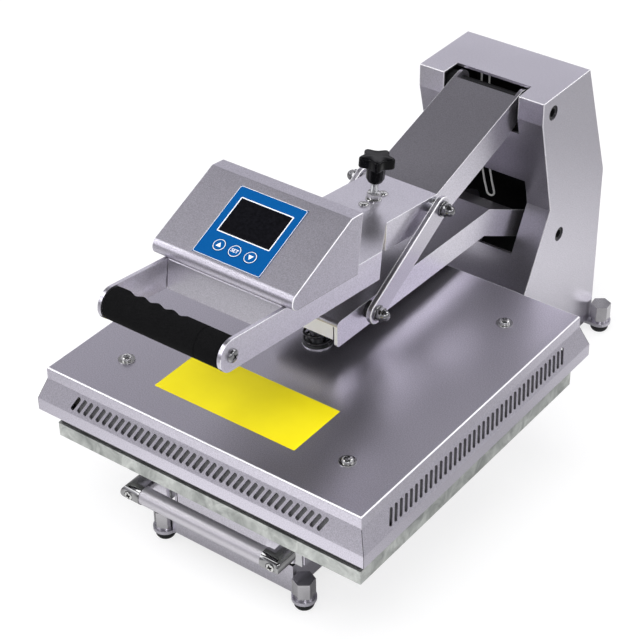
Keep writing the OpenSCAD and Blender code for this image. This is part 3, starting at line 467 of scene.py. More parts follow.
bm = rounded("power_entry", 0.5 * MM, 2)
even_shading(show("mains_entry", bm, "frame", moulded_black, ("power_entry",)))
bm = bmesh.new()
for x, down in ((-5, 15), (0, 9.5), (5, 15)):
    block(bm, BLADE_SIZE, (x, BLADE_Y, ENTRY_Z - down))
round_off(bm, bm.edges[:], 0.4 * MM, 2)
show("entry_blades", bm, "frame", nickel)
bm = rounded("rocker", 0.6 * MM, 3, 4 * MM)
even_shading(show("switch_rocker", bm, "power_rocker", rocker_red, ("rocker",)))

# Drawer slides: rolled steel with a zinc plating, the fixed members screwed on the base
# and the moving ones on the carriage.
zinc_plate = finish("zinc_plate", (0.48, 0.49, 0.5), (0.64, 0.64, 0.65), 0.36, 0.95, grain=260, cloud=30,
                    spread=0.08, bump=0.04, by="Cloud")
for node in ("slide_fixed_l", "slide_fixed_r", "slide_moving_l", "slide_moving_r"):
    coat(node, zinc_plate)

# Carriage: a bent steel plate in silver paint under the lower platen,
# with brackets at its front for the pull.
bm = rounded("carriage", 0.6 * MM, 2, 8 * MM)
even_shading(show("carriage_plate", bm, "drawer", silver_paint, ("carriage",)))

# Lower platen: aluminium, cast and machined, with a mottled dull skin,
# screwed on the carriage from below.
cast_skin, tree, shader, coords = material("cast_skin", 0.5, 0.75)
mottle, flecks = tree.nodes.new("ShaderNodeTexNoise"), tree.nodes.new("ShaderNodeTexNoise")
mottle.inputs["Scale"].default_value = 55
mottle.inputs["Detail"].default_value = 6
mottle.inputs["Roughness"].default_value = 0.6
mottle.inputs["Distortion"].default_value = 0.8
flecks.inputs["Scale"].default_value = 420
tree.links.new(coords, mottle.inputs["Vector"])
tree.links.new(coords, flecks.inputs["Vector"])
tones = tree.nodes.new("ShaderNodeValToRGB")
tones.color_ramp.elements[0].position, tones.color_ramp.elements[0].color = 0.33, (0.30, 0.315, 0.30, 1)
tones.color_ramp.elements[1].position, tones.color_ramp.elements[1].color = 0.68, (0.66, 0.68, 0.65, 1)
tree.links.new(mottle.outputs["Fac"], tones.inputs[0])
tree.links.new(tones.outputs[0], shader.inputs["Base Color"])
tree.links.new(spread_node(tree, mottle.outputs["Fac"], 0, 1, 0.38, 0.62), shader.inputs["Roughness"])
relief = tree.nodes.new("ShaderNodeBump")
relief.inputs["Strength"].default_value = 0.2
relief.inputs["Distance"].default_value = 0.4 * MM
tree.links.new(flecks.outputs["Fac"], relief.inputs["Height"])
tree.links.new(relief.outputs["Normal"], shader.inputs["Normal"])
bm = rounded("lower_platen", 0.8 * MM, 2, 20 * MM)
even_shading(show("platen", bm, "drawer", cast_skin, ("lower_platen",)))

# Soft pad: a slab of dark silicone sponge with round edges,
# laid loose on the lower platen.
silicone = finish("silicone", (0.028, 0.028, 0.031), (0.05, 0.05, 0.054), 0.7, grain=1600, bump=0.2)
PAD_SIDE, PAD_T, PAD_MIDDLE = 376, 8, 134.4
PAD_CORNER, PAD_RIM = 1.5 * MM, 1.8 * MM
bm = bmesh.new()
block(bm, (PAD_SIDE, PAD_SIDE, PAD_T), (0, 0, PAD_MIDDLE))
upright_edges = [e for e in bm.edges if abs(e.verts[0].co.z - e.verts[1].co.z) > 1 * MM]
round_off(bm, upright_edges, PAD_CORNER, 6)
rims = [e for e in bm.edges if abs(e.verts[0].co.z - e.verts[1].co.z) < 0.1 * MM and e.calc_face_angle(0) > 1]
round_off(bm, rims, PAD_RIM, 4)
sponge = show("sponge_pad", bm, "drawer", silicone, ("silicone_pad",))
even_shading(sponge)

# Pull: a light silver steel tube between two bright plated elbows that are mitred at their corner,
# each held on its bracket by a screw with a cross recess.
pull_paint = finish("pull_paint", (0.47, 0.455, 0.49), (0.54, 0.525, 0.56), 0.42, 0.8, grain=1600, spread=0.03,
                    bump=0.03)
bright_plate = finish("bright_plate", (0.52, 0.52, 0.51), (0.62, 0.62, 0.61), 0.15, 1.0, grain=300, cloud=60,
                      spread=0.05, bump=0.02, by="Cloud")
mirror_plate = finish("mirror_plate", (0.27, 0.27, 0.273), (0.33, 0.33, 0.334), 0.07, 1.0, grain=300, cloud=60,
                      spread=0.03, bump=0.015, by="Cloud")
PULL_Y, PULL_Z = -190, 89
ELBOW_SCREW_X, ELBOW_SCREW_Y = 90, -198.6
PULL_PROFILE = [(8, -84.8), (9.2, -84.8), (9.5, -84.4), (9.5, 84.4), (9.2, 84.8), (8, 84.8), (8, -84.8)]
ELBOW_SCREW = [(0, 0), (4.7, 0), (4.7, 1.2), (4.4, 1.6), (3.6, 1.8)]
ALONG_X = Matrix.Rotation(math.pi / 2, 4, "Y")


def cross_screw(profile, place, arm, half_width, depth):
    """A turned screw head, open at its top rim, closed by a cross recess of that reach, width and depth."""
    bm = turned(profile, Matrix.Identity(4), 24)
    top = profile[-1][1] * MM
    rim = [e for e in bm.edges if e.is_boundary and all(abs(v.co.z - top) < 1e-6 for v in e.verts)]
    a, b = arm * MM, half_width * MM
    outline = [(a, -b), (a, b), (b, b), (b, a), (-b, a), (-b, b), (-a, b), (-a, -b), (-b, -b), (-b, -a),
               (b, -a), (b, -b)]
    points = [bm.verts.new((x, y, top)) for x, y in outline]
    cross = [bm.edges.new((points[i], points[i - 1])) for i in range(len(points))]
    bmesh.ops.bridge_loops(bm, edges=rim + cross)
    sunk = bmesh.ops.extrude_edge_only(bm, edges=cross)["geom"]
    low = [g for g in sunk if isinstance(g, bmesh.types.BMVert)]
    bmesh.ops.translate(bm, vec=(0, 0, -depth * MM), verts=low)
    bmesh.ops.scale(bm, vec=(0.8, 0.8, 1), verts=low)
    low_edges = [g for g in sunk if isinstance(g, bmesh.types.BMEdge)]
    floor_faces = bmesh.ops.contextual_create(bm, geom=low_edges)["faces"]
    for face in floor_faces + [g for g in sunk if isinstance(g, bmesh.types.BMFace)]:
        face.material_index = 1
    bmesh.ops.recalc_face_normals(bm, faces=bm.faces)
    bm.transform(place)
    return bm


bm = turned(PULL_PROFILE, Matrix.Translation((0, PULL_Y * MM, PULL_Z * MM)) @ ALONG_X)
show("pull_bar", bm, "drawer", pull_paint, ("pull_tube",))
for name, side in (("l", -1), ("r", 1)):
    bm = rounded("pull_elbow_" + name, 0.3 * MM, 2, 1.5 * MM, 40)
    even_shading(show("elbow_" + name, bm, "drawer", mirror_plate, ("pull_elbow_" + name,), 40))
    place = (Matrix.Translation(Vector((side * ELBOW_SCREW_X, ELBOW_SCREW_Y, PULL_Z)) * MM)
             @ Matrix.Rotation(math.pi / 2, 4, "X") @ Matrix.Rotation(0.4, 4, "Z"))
    bm = cross_screw(ELBOW_SCREW, place, 3.0, 0.95, 1.4)
    show("elbow_screw_" + name, bm, "drawer", (bright_plate, black_steel),
         ("pull_screw_" + name,), 40)

# Lower arm: a folded channel of steel sheet that carries the head, in silver paint with painted light on
# its flanks, painted highlights on its edges and painted shade below, with a pale primed end plate welded in.
# Painted highlight: a bright paint for rounded edges.
painted_edge_highlight = sheet_paint("painted_edge_highlight", (0.92, 0.915, 0.935), (0.97, 0.965, 0.985), 0.25, 0.15, 0.03)
# Painted light: a lighter copy of the silver paint for side faces.
painted_flank_light = sheet_paint("painted_flank_light", (0.606, 0.586, 0.648), (0.798, 0.773, 0.852))
# Painted shade: a dark paint for faces that look down.
painted_under_shade = finish("painted_under_shade", (0.08, 0.077, 0.085), (0.12, 0.116, 0.125), 0.5, 0.8, grain=600, bump=0.05)
primer = finish("primer", (0.96, 0.965, 0.975), (0.98, 0.985, 0.99), 0.4, grain=900, bump=0.04)
ARM_EDGE, END_PLATE_X, END_PLATE_Y = 1.2 * MM, 36.4 * MM, -20.9 * MM
arm_looks = (silver_paint, primer, painted_under_shade, painted_edge_highlight, painted_flank_light)
bm = rounded("lower_arm", ARM_EDGE, corner=22, fold=ARM_EDGE, strip=arm_looks.index(painted_edge_highlight), outline=True)
# The end plate gets the primer, faces that look down the painted shade and side faces the painted light.
for face in bm.faces:
    middle = face.calc_center_median()
    if middle.y < END_PLATE_Y and face.normal.y < -0.9 and abs(middle.x) < END_PLATE_X:
        face.material_index = arm_looks.index(primer)
    elif face.normal.z < -0.4:
        face.material_index = arm_looks.index(painted_under_shade)
    elif abs(face.normal.x) > 0.9 and face.material_index == 0:
        face.material_index = arm_looks.index(painted_flank_light)
even_shading(show("head_arm", bm, "head", arm_looks, ("lower_arm",)))
coat("link_pin", black_steel)

# Post and spring of the head: a plated post with its seat and hexagon head,
# a washer under the arm, and a black wound spring between them.
spring_black = finish("spring_black", (0.02, 0.02, 0.022), (0.04, 0.04, 0.043), 0.16, 0.4, grain=700, bump=0.04)
SEAT_Z, ARM_Z = 203 * MM, 247 * MM
COIL_R, COIL_WIRE, COIL_LOW, COIL_TURNS, COIL_STEPS = 13.9 * MM, 1.4 * MM, 203.8 * MM, 5, 28
END_PITCH, COIL_PITCH = 3.55 * MM, 10.63 * MM
bm = rounded("head_post", 0.5 * MM, 2, 4 * MM)
for face in bm.faces:
    middle = face.calc_center_median()
    if math.hypot(face.normal.x, face.normal.y) > 0.5 and SEAT_Z < middle.z < ARM_Z:
        face.material_index = 1
even_shading(show("post", bm, "head", (zinc_plate, spring_black), ("head_post",)))
coat("spring_washer", zinc_plate)
bm = bmesh.new()
bmesh.ops.create_circle(bm, segments=12, radius=COIL_WIRE, matrix=Matrix.Translation((COIL_R, 0, COIL_LOW))
                        @ Matrix.Rotation(math.pi / 2, 4, "X"))
grown = bm.verts[:] + bm.edges[:]
grown += bmesh.ops.contextual_create(bm, geom=bm.edges[:])["faces"]
for turn in range(COIL_TURNS):
    pitch = END_PITCH if turn in (0, COIL_TURNS - 1) else COIL_PITCH
    grown = bmesh.ops.spin(bm, geom=grown, cent=(0, 0, 0), axis=(0, 0, 1), angle=2 * math.pi, steps=COIL_STEPS,
                           dvec=(0, 0, pitch / COIL_STEPS), use_merge=False)["geom_last"]
bmesh.ops.recalc_face_normals(bm, faces=bm.faces)
show("spring", bm, "head", spring_black, ("head_spring",), 60)

# Heat head: sheet cover in silver paint with mitred corner seams along its slotted band and a painted
# highlight on its top chamfer, a zinc screen behind the slots, the dark heat platen below, the heating sheet
# and the wool board inside.
cover_paint = finish("cover_paint", (0.48, 0.46, 0.522), (0.67, 0.643, 0.723), 0.33, 0.93, grain=900, cloud=7,
                     spread=0.03, bump=0.05)
SEAM_HALF, BAND_TOP, SEAM_TONE = 0.45 * MM, 187 * MM, (0.1, 0.1, 0.11, 1)
CHAMFER_Z = 199.5 * MM
tree = cover_paint.node_tree
axes = tree.nodes.new("ShaderNodeSeparateXYZ")
tree.links.new(tree.nodes["Texture Coordinate"].outputs["Object"], axes.inputs[0])
off_x, off_y = (sum_node(tree, "ABSOLUTE", axes.outputs[axis]) for axis in ("X", "Y"))
on_seam = sum_node(tree, "COMPARE", sum_node(tree, "SUBTRACT", off_x, off_y), 0, SEAM_HALF)
in_band = sum_node(tree, "LESS_THAN", axes.outputs["Z"], BAND_TOP)
mitre = tree.nodes.new("ShaderNodeMix")
mitre.data_type = "RGBA"
mitre.inputs[7].default_value = SEAM_TONE
tree.links.new(sum_node(tree, "MULTIPLY", on_seam, in_band), mitre.inputs[0])
tree.links.new(tree.nodes["tones"].outputs[2], mitre.inputs[6])
tree.links.new(mitre.outputs[2], tree.nodes["Principled BSDF"].inputs["Base Color"])
bm = rounded("cover_shell", 0.6 * MM, 3, 30 * MM, 15)
# The chamfer round the cover's top gets the bright edge paint as a painted highlight.
for face in bm.faces:
    if face.calc_center_median().z > CHAMFER_Z and 0.5 < face.normal.z < 0.95:
        face.material_index = 1
even_shading(show("cover", bm, "head", (cover_paint, painted_edge_highlight), ("cover_shell",)))
screen_zinc = finish("screen_zinc", (0.12, 0.12, 0.123), (0.17, 0.17, 0.174), 0.6, 0.3, grain=400, bump=0.05)
SCREEN_FROM, SCREEN_TO, SCREEN_T = -151.5, 157, 0.5 * MM
SCREEN_LOW, SCREEN_TOP = (-198.6, 163.0), (-190.3, 186.2)
bm = bmesh.new()
for turn in range(4):
    sheet = [bm.verts.new(Vector(corner) * MM) for corner in
             ((SCREEN_FROM, *SCREEN_LOW), (SCREEN_TO, *SCREEN_LOW), (SCREEN_TO, *SCREEN_TOP),
              (SCREEN_FROM, *SCREEN_TOP))]
    bm.faces.new(sheet)
    bmesh.ops.rotate(bm, cent=(0, 0, 0), matrix=Matrix.Rotation(turn * math.pi / 2, 3, "Z"), verts=sheet)
grown = bmesh.ops.extrude_face_region(bm, geom=bm.faces[:])["geom"]
for v in [g for g in grown if isinstance(g, bmesh.types.BMVert)]:
    v.co -= Vector((v.co.x, v.co.y, 0)).normalized() * SCREEN_T
bmesh.ops.recalc_face_normals(bm, faces=bm.faces)
show("slot_screen", bm, "head", screen_zinc)
platen_dark_grey = finish("platen_dark_grey", (0.05, 0.05, 0.052), (0.09, 0.09, 0.093), 0.42, 0.6, grain=900, bump=0.05)
mica_sheet = finish("mica_sheet", (0.30, 0.25, 0.15), (0.45, 0.38, 0.24), 0.5, grain=300, cloud=40, by="Cloud")
wool_board = finish("wool_board", (0.06, 0.058, 0.05), (0.12, 0.115, 0.1), 0.9, grain=500, bump=0.5)
# The heat platen is coloured dark grey all over.
coat("heat_platen", platen_dark_grey)
coat("heater", mica_sheet)
wool = show("wool_slab", rounded("insulation", 2.5 * MM, 3, 20 * MM), "head", wool_board, ("insulation",))
even_shading(wool)

# Yellow sheet on the cover's top: thin plain vinyl with small round corners,
# stuck down flat near the cover's front edge.
yellow_vinyl = finish("yellow_vinyl", (0.85, 0.72, 0.006), (0.91, 0.78, 0.01), 0.45, grain=1200, cloud=20,
                      bump=0.02, by="Cloud", shine=0.2)
VINYL_SIZE, VINYL_MIDDLE, VINYL_CORNER = (173, 73.5, 0.2), (0, -116.25, 201.2), 1.2 * MM
bm = bmesh.new()
block(bm, VINYL_SIZE, VINYL_MIDDLE)
corners = [e for e in bm.edges if abs(e.verts[0].co.z - e.verts[1].co.z) > 0.1 * MM]
round_off(bm, corners, VINYL_CORNER, 4)
show("yellow_sheet", bm, "head", yellow_vinyl)

# Cover screws: bright plated pan heads with a cross recess on flat washers,
# driven through the cover's top into the heat platen.
COVER_TOP, SCREW_OUT = 201.1, 137
COVER_SCREW = [(0, 0), (8.8, 0), (9, 0.3), (9, 1.0), (8.7, 1.4), (5.7, 1.4), (5.8, 2.0), (5.7, 3.1), (5.2, 4.0),
               (4.4, 4.6), (3.4, 5.0)]
for name, x, y, turn in (("fl", -1, -1, 20), ("fr", 1, -1, 55), ("bl", -1, 1, 8), ("br", 1, 1, 35)):
    place = Matrix.Translation(Vector((x * SCREW_OUT, y * SCREW_OUT, COVER_TOP)) * MM)
    bm = cross_screw(COVER_SCREW, place @ Matrix.Rotation(math.radians(turn), 4, "Z"), 2.4, 0.4, 1.2)
    show("head_screw_" + name, bm, "head", (bright_plate, zinc_plate), ("cover_screw_" + name,), 40)

# Lever: one folded and welded steel sheet in the arm's paints, with the same painted light, highlights and
# shade, a channel at the tower, then a plate that flares and ends in a fork. It turns on the upper shaft.
LEVER_EDGE = 1.3 * MM
# The lever's edges get the painted highlight, its undersides the painted shade and its sides the painted light.
lever_looks = (silver_paint, painted_under_shade, painted_edge_highlight, painted_flank_light)
bm = rounded("lever_frame", LEVER_EDGE, 3, 1 * MM, 20, fold=LEVER_EDGE, strip=lever_looks.index(painted_edge_highlight),
             outline=True)
for face in bm.faces:
    if face.normal.z < -0.4:
        face.material_index = lever_looks.index(painted_under_shade)
    elif abs(face.normal.x) > 0.9 and face.material_index == 0:
        face.material_index = lever_looks.index(painted_flank_light)
even_shading(show("lever_sheet", bm, "lever", lever_looks, ("lever_frame",)))
coat("lever_pin", zinc_plate)

# Links: flat steel bars in silver paint with painted highlights on their edges, hung on the lever's pin,
# and held at both pivots by mirror plated domed nuts on flat washers.
NUT_R, WASHER_T = 7.6, 1.4
WASHER = [(4.05, 0), (8.2, 0), (8.5, 0.3), (8.5, 1.1), (8.2, WASHER_T)]
DOME = [(6.4, WASHER_T), (6.4, 6.9), (6.2, 7.2), (6.0, 8.1), (5.65, 9.9), (4.8, 11.5), (3.5, 12.8), (1.8, 13.6),
        (0, 13.9)]
LEVER_PIVOT, LINK_PIVOT = (52.8, 145, 305.1), (52.5, 31.3, 240.4)


def add_hexagon(bm, place, height, edge):
    """Adds a hexagon of the nuts' size and of a height on their washer, its edges rounded."""
    middle = Matrix.Translation((0, 0, (WASHER_T + height / 2) * MM))
    corners = set(bmesh.ops.create_cone(bm, cap_ends=True, segments=6, radius1=NUT_R * MM, radius2=NUT_R * MM,
                                        depth=height * MM, matrix=place @ middle)["verts"])
    round_off(bm, [e for e in bm.edges if corners.issuperset(e.verts)], edge * MM, 2)


# The rounded edges of the bars get the painted highlight.
for name in ("l", "r"):
    bm = rounded("link_" + name, 1.0 * MM, 3, 1 * MM, 40, strip=1)
    even_shading(show("link_bar_" + name, bm, "links", (silver_paint, painted_edge_highlight),
                      ("link_" + name,)))
for name, side in (("l", -1), ("r", 1)):
    for pivot, body, (x, y, z) in (("lever", "lever", LEVER_PIVOT), ("link", "links", LINK_PIVOT)):
        place = (Matrix.Translation(Vector((side * x, y, z)) * MM)
                 @ Matrix.Rotation(side * math.pi / 2, 4, "Y"))
        bm = turned(WASHER + DOME, place, 36)
        add_hexagon(bm, place, 5.5, 0.5)
        show("dome_nut_" + pivot + "_" + name, bm, body, mirror_plate, (pivot + "_nut_" + name,), 40)

# Pressure knob: black gloss plastic star with a turned neck on a plated threaded rod,
# locked by a nut on the lever plate between two screws.
PLATE_Z, PLATE_TILT, KNOB_ALONG = 334.4 * MM, math.radians(7.41), 97.5 * MM
LEVER = Matrix.Translation((0, 0, PLATE_Z)) @ Matrix.Rotation(-PLATE_TILT, 4, "X")
KNOB_PLACE = LEVER @ Matrix.Translation((0, KNOB_ALONG, 0))
gloss_black = finish("gloss_black", (0.002, 0.002, 0.0024), (0.004, 0.004, 0.0046), 0.1, grain=300, spread=0.03,
                     bump=0.0, shine=0.14)
LOBES, LOBE_R, LOBE_DEPTH, LOBE_BLUNT, STAR_LOW, STAR_T, STAR_RIM = 5, 16.0, 2.7, 0.3, 37, 11.6, 2.2 * MM
NECK_PROFILE = [(4.1, 20), (7, 20), (7.6, 20.6), (9.4, 24), (9.6, 24.6), (9.8, 35), (10.2, 36.4), (11, 37.6),
                (4.1, 37.6)]
THREAD_TURNS, THREAD_PITCH, THREAD_ROOT, THREAD_TIP = 70, 1.25, (3.55, -48.6), (4.0, -48.0)
PLATE_SCREW_OFF = 17.2 * MM
PLATE_SCREW = [(0, 0), (5.3, 0), (5.4, 0.4), (5.3, 1.0), (4.8, 1.6), (4.0, 2.0), (3.0, 2.2)]
bm = bmesh.new()
star = bmesh.ops.create_circle(bm, segments=100, radius=1, cap_ends=True)["verts"]
for v in star:
    bearing = math.atan2(v.co.y, v.co.x) - math.pi / 2
    reach = LOBE_R + LOBE_DEPTH * math.cos(LOBES * bearing) + LOBE_BLUNT * math.cos(2 * LOBES * bearing)
    v.co = Vector((v.co.x * reach, v.co.y * reach, STAR_LOW)) * MM
grown = bmesh.ops.extrude_face_region(bm, geom=bm.faces[:])["geom"]
bmesh.ops.translate(bm, vec=(0, 0, STAR_T * MM), verts=[g for g in grown if isinstance(g, bmesh.types.BMVert)])
bmesh.ops.recalc_face_normals(bm, faces=bm.faces)
rims = [e for e in bm.edges if abs(e.verts[0].co.z - e.verts[1].co.z) < 1e-6]
round_off(bm, rims, STAR_RIM, 5)
crown = [f for f in bm.faces if len(f.verts) > 20 and f.normal.z > 0.9]
for shrink, lift in ((0.72, 0.5), (0.55, 0.25), (0.4, 0.1)):
    grown = bmesh.ops.extrude_face_region(bm, geom=crown)["geom"]
    bmesh.ops.delete(bm, geom=crown, context="FACES_ONLY")
    crown = [g for g in grown if isinstance(g, bmesh.types.BMFace)]
    ring = [g for g in grown if isinstance(g, bmesh.types.BMVert)]
    bmesh.ops.scale(bm, vec=(shrink, shrink, 1), verts=ring)
    bmesh.ops.translate(bm, vec=(0, 0, lift * MM), verts=ring)
bm.transform(KNOB_PLACE)
show("star_knob", bm, "pressure_knob", gloss_black, ("knob",), 40)
show("knob_neck", turned(NECK_PROFILE, KNOB_PLACE, 40), "pressure_knob", gloss_black)
thread = [(0, -50), (3, -50)]
for turn in range(THREAD_TURNS):
    thread += [(r, z + turn * THREAD_PITCH) for r, z in (THREAD_ROOT, THREAD_TIP)]
bm = turned(thread + [(3.6, 43.6), (0, 44)], KNOB_PLACE, 20)
show("threaded_rod", bm, "pressure_knob", zinc_plate, ("knob_rod",), 50)
bm = turned(WASHER + [(4.05, WASHER_T)], KNOB_PLACE, 36)
add_hexagon(bm, KNOB_PLACE @ Matrix.Rotation(0.3, 4, "Z"), 7, 0.6)
show("lock_nut", bm, "lever", bright_plate, ("rod_nut",), 40)
for name, way, turn in (("f", -1, 15), ("b", 1, 50)):
    place = KNOB_PLACE @ Matrix.Translation((0, way * PLATE_SCREW_OFF, 0))
    bm = cross_screw(PLATE_SCREW, place @ Matrix.Rotation(math.radians(turn), 4, "Z"), 1.9, 0.35, 0.8)
    show("small_screw_" + name, bm, "lever", (bright_plate, zinc_plate), ("plate_screw_" + name,), 40)

# Handle: a steel rod between the fork's bars under a sleeve of black foam rubber with finger hollows
# at the back and a plain end behind a seam, held by a screw at each end.
coat("grip_rod", zinc_plate)
foam_skin = finish("foam_skin", (0.003, 0.003, 0.0032), (0.0075, 0.0075, 0.008), 0.85, grain=1100, cloud=60,
                   bump=0.3, shine=0.06)
GRIP_ALONG, GRIP_DOWN, GRIP_HALF, GRIP_R, GRIP_BORE = -219.4, -16.4, 67.7, 16.0, 8.1
GRIP_RINGS, RING_STEP, SEAM_X = 74, 1.45, 41
SEAM_DIPS = ((0, -1.2), (0.3, -0.5), (0.8, 0), (0.2, 0.5), (0, 1.4), (0, 6))
HOLLOWS, HOLLOW_FIRST, HOLLOW_STEP, HOLLOW_DEPTH = 4, -47, 17.5, 2.3
HOLLOW_BEARING, HOLLOW_POWER, CORE_R = math.radians(135), 1.2, 12
HANDLE_SCREW_X = 72
HANDLE_SCREW = [(0, 0), (6.6, 0), (6.8, 0.4), (6.7, 1.6), (6.2, 2.6), (5.2, 3.4), (4.0, 3.8)]
sleeve = [(GRIP_BORE, -GRIP_HALF), (13.6, -GRIP_HALF), (15.0, -GRIP_HALF + 0.5)]
sleeve += [(GRIP_R, -GRIP_HALF + 1.8 + i * RING_STEP) for i in range(GRIP_RINGS)]
sleeve += [(GRIP_R - dip, SEAM_X + past) for dip, past in SEAM_DIPS]
sleeve += [(GRIP_R, GRIP_HALF - 2), (15.2, GRIP_HALF - 0.6), (13.6, GRIP_HALF), (GRIP_BORE, GRIP_HALF),
           (GRIP_BORE, -GRIP_HALF)]
bm = turned(sleeve, Matrix.Identity(4), 56)
for v in bm.verts:
    along, bearing = v.co.z / MM, math.atan2(v.co.y, v.co.x)
    if math.hypot(v.co.x, v.co.y) < CORE_R * MM or along > SEAM_X - 2:
        continue
    facing = max(0, math.cos(bearing - HOLLOW_BEARING)) ** HOLLOW_POWER
    nearest = min(abs(along - HOLLOW_FIRST - i * HOLLOW_STEP) for i in range(HOLLOWS))
    across_hollow = max(0, math.cos(math.pi * min(nearest / HOLLOW_STEP, 0.5))) ** HOLLOW_POWER
    dip = HOLLOW_DEPTH * facing * across_hollow * MM
    v.co -= Vector((math.cos(bearing), math.sin(bearing), 0)) * dip
bm.transform(LEVER @ Matrix.Translation((0, GRIP_ALONG * MM, GRIP_DOWN * MM)) @ ALONG_X)
grip = show("foam_sleeve", bm, "lever", foam_skin, ("foam_grip",), 50)
for name, side in (("l", -1), ("r", 1)):
    place = (LEVER @ Matrix.Translation(Vector((side * HANDLE_SCREW_X, GRIP_ALONG, GRIP_DOWN)) * MM)
             @ Matrix.Rotation(side * math.pi / 2, 4, "Y") @ Matrix.Rotation(0.5, 4, "Z"))
    bm = cross_screw(HANDLE_SCREW, place, 3.2, 0.75, 1.7)
    show("handle_screw_" + name, bm, "lever", (mirror_plate, black_steel), ("grip_screw_" + name,), 40)

# Control box: folded sheet in silver paint with a coarser grain and painted highlights on its edges, a rolled
# nose, closed sides with a painted shadow line along their foot, screwed on the lever plate; its circuit board is
# inside.
box_paint = finish("box_paint", (0.47, 0.452, 0.51), (0.66, 0.637, 0.71), 0.42, 0.93, grain=900, cloud=10,
                   spread=0.04, bump=0.09)
board_green = finish("board_green", (0.012, 0.07, 0.028), (0.02, 0.11, 0.045), 0.45, grain=300)
SHADOW_LINE_POINT, BOX_EDGE = Vector((0, -45.1, 341.4)) * MM, 1.6 * MM
box_looks = (box_paint, painted_edge_highlight, shade_paint)
bm = rounded("control_box", BOX_EDGE, 4, 0.2 * MM, 28, True, strip=box_looks.index(painted_edge_highlight))
# Below a line above their foot the box's sides get near black painted shade as a painted shadow line; the rounded
# edges get the painted highlight.
plate_up = Vector((0, math.sin(PLATE_TILT), math.cos(PLATE_TILT)))
bmesh.ops.bisect_plane(bm, geom=bm.verts[:] + bm.edges[:] + bm.faces[:], dist=1e-6, plane_co=SHADOW_LINE_POINT,
                       plane_no=plate_up)
for face in bm.faces:
    if abs(face.normal.x) < 0.1:
        face.material_index = box_looks.index(box_paint)
    elif abs(face.normal.x) > 0.9 and (face.calc_center_median() - SHADOW_LINE_POINT).dot(plate_up) < 0:
        face.material_index = box_looks.index(shade_paint)
even_shading(show("control_case", bm, "lever", box_looks, ("control_box",)))
coat("control_board", board_green)

# Key film: blue printed film stuck on the box's face, with a pale line round its edge and a pale line round
# the display, and a dark tinted window over the display.
FACE_ALONG, FACE_UP, FACE_LEAN = -62.9 * MM, 65 * MM, math.radians(30.6)
FACE = LEVER @ Matrix.Translation((0, FACE_ALONG, FACE_UP)) @ Matrix.Rotation(FACE_LEAN, 4, "X")
FILM_UP, INK_T = 0.6, 0.05
blue_film = finish("blue_film", (0.0004, 0.069, 0.24), (0.0008, 0.079, 0.265), 0.45, grain=1400, bump=0.02,
                   shine=0.06)
dark_window = finish("dark_window", (0.003, 0.003, 0.004), (0.006, 0.006, 0.008), 0.12, grain=300, spread=0.03,
                     bump=0.0, shine=0.25)
white_ink = finish("white_ink", (0.78, 0.79, 0.8), (0.88, 0.89, 0.9), 0.5, grain=1500, bump=0.02)
bm = rounded("membrane", 0.12 * MM, 2, 12 * MM)
even_shading(show("key_film", bm, "lever", blue_film, ("membrane",)))
bm = rounded("display_window", 0.3 * MM, 2, 5 * MM)
even_shading(show("display_glass", bm, "lever", dark_window, ("display_window",)))


def print_frame(low, high, corner, line):
    """A rectangular line of ink on the film between two corner points, as a thin raised frame."""
    bm = bmesh.new()
    sheet = bmesh.ops.create_grid(bm, x_segments=1, y_segments=1, size=0.5)["verts"]
    bmesh.ops.scale(bm, vec=((high[0] - low[0]) * MM, (high[1] - low[1]) * MM, 1), verts=sheet)
    middle = Vector(((high[0] + low[0]) / 2, (high[1] + low[1]) / 2, FILM_UP)) * MM
    bmesh.ops.translate(bm, vec=middle, verts=sheet)
    bmesh.ops.bevel(bm, geom=bm.verts[:], offset=corner * MM, offset_type="OFFSET", affect="VERTICES",
                    segments=5, profile=0.5, material=-1)
    inside = bm.faces[:]
    bmesh.ops.inset_region(bm, faces=inside, thickness=line * MM, use_boundary=True, use_even_offset=True)
    bmesh.ops.delete(bm, geom=inside, context="FACES")
    grown = bmesh.ops.extrude_face_region(bm, geom=bm.faces[:])["geom"]
    bmesh.ops.translate(bm, vec=(0, 0, INK_T * MM), verts=[g for g in grown if isinstance(g, bmesh.types.BMVert)])
    bmesh.ops.recalc_face_normals(bm, faces=bm.faces)
    bm.transform(FACE)
    return bm


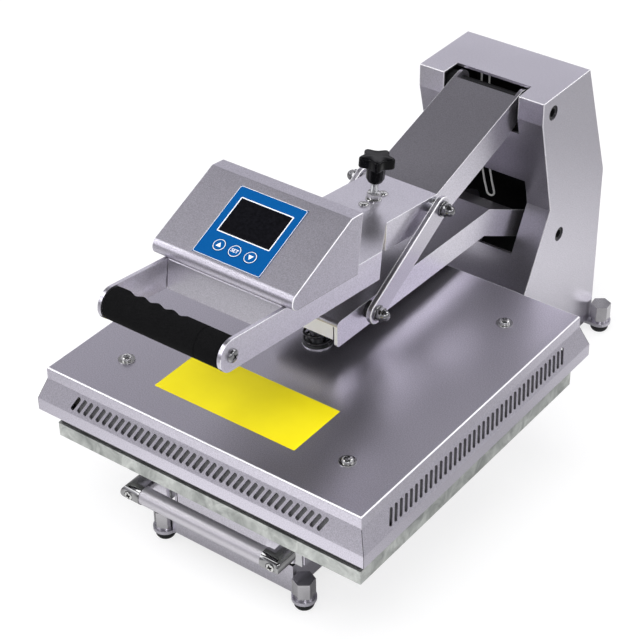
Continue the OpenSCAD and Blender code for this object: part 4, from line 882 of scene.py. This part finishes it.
# A pale line round the film's edge, in the same white.
show("film_edge_line", print_frame((-39.4, -91.9), (39.4, -9.6), 2.4, 0.45), "lever", white_ink)
show("window_line", print_frame((-31.0, -63.3), (31.0, -20.9), 1.2, 1.05), "lever", white_ink)

# Keys: three round domes of the blue film under the display, each with a stem to the circuit board,
# and with a ring and its sign printed on it in white.
KEY_DOWN, SIGN_UP, WEDGE_R, WEDGE_T, WEDGE_OFF = -76.5 * MM, 1.17 * MM, 3.3 * MM, 0.08 * MM, 0.4 * MM
KEY_PROFILE = [(0, -6), (3, -6), (3, -1), (6.6, -1), (6.6, 0.75), (6.4, 0.95), (4.5, 1.1), (0, 1.15)]
RING_PROFILE = [(5.75, 0.98), (6.35, 0.94), (6.35, 1.0), (5.75, 1.06), (5.75, 0.98)]
for name, x in (("up", -18), ("set", 0.3), ("down", 18.6)):
    place = FACE @ Matrix.Translation((x * MM, KEY_DOWN, 0))
    bm = turned(KEY_PROFILE, place, 40)
    show("key_dome_" + name, bm, name + "_key", blue_film, ("key_" + name,))
    bm = turned(RING_PROFILE, place, 40)
    if name == "set":
        legend = bpy.data.curves.new("set_word", "FONT")
        legend.body = "SET"
        legend.size = 5.3 * MM
        legend.offset = 0.06 * MM
        legend.align_x, legend.align_y = "CENTER", "CENTER"
        legend.extrude = 0.03 * MM
        carrier = bpy.data.objects.new("set_word", legend)
        bpy.context.scene.collection.objects.link(carrier)
        word = carrier.to_mesh()
        word.transform(place @ Matrix.Translation((0, 0, SIGN_UP)))
        bm.from_mesh(word)
        carrier.to_mesh_clear()
        bpy.data.objects.remove(carrier)
    else:
        upward = name == "up"
        sign_place = place @ Matrix.Translation((0, -WEDGE_OFF if upward else WEDGE_OFF, SIGN_UP))
        bmesh.ops.create_cone(bm, cap_ends=True, segments=3, radius1=WEDGE_R, radius2=WEDGE_R, depth=WEDGE_T,
                              matrix=sign_place @ Matrix.Rotation(0 if upward else math.pi, 4, "Z"))
    show("key_sign_" + name, bm, name + "_key", white_ink)
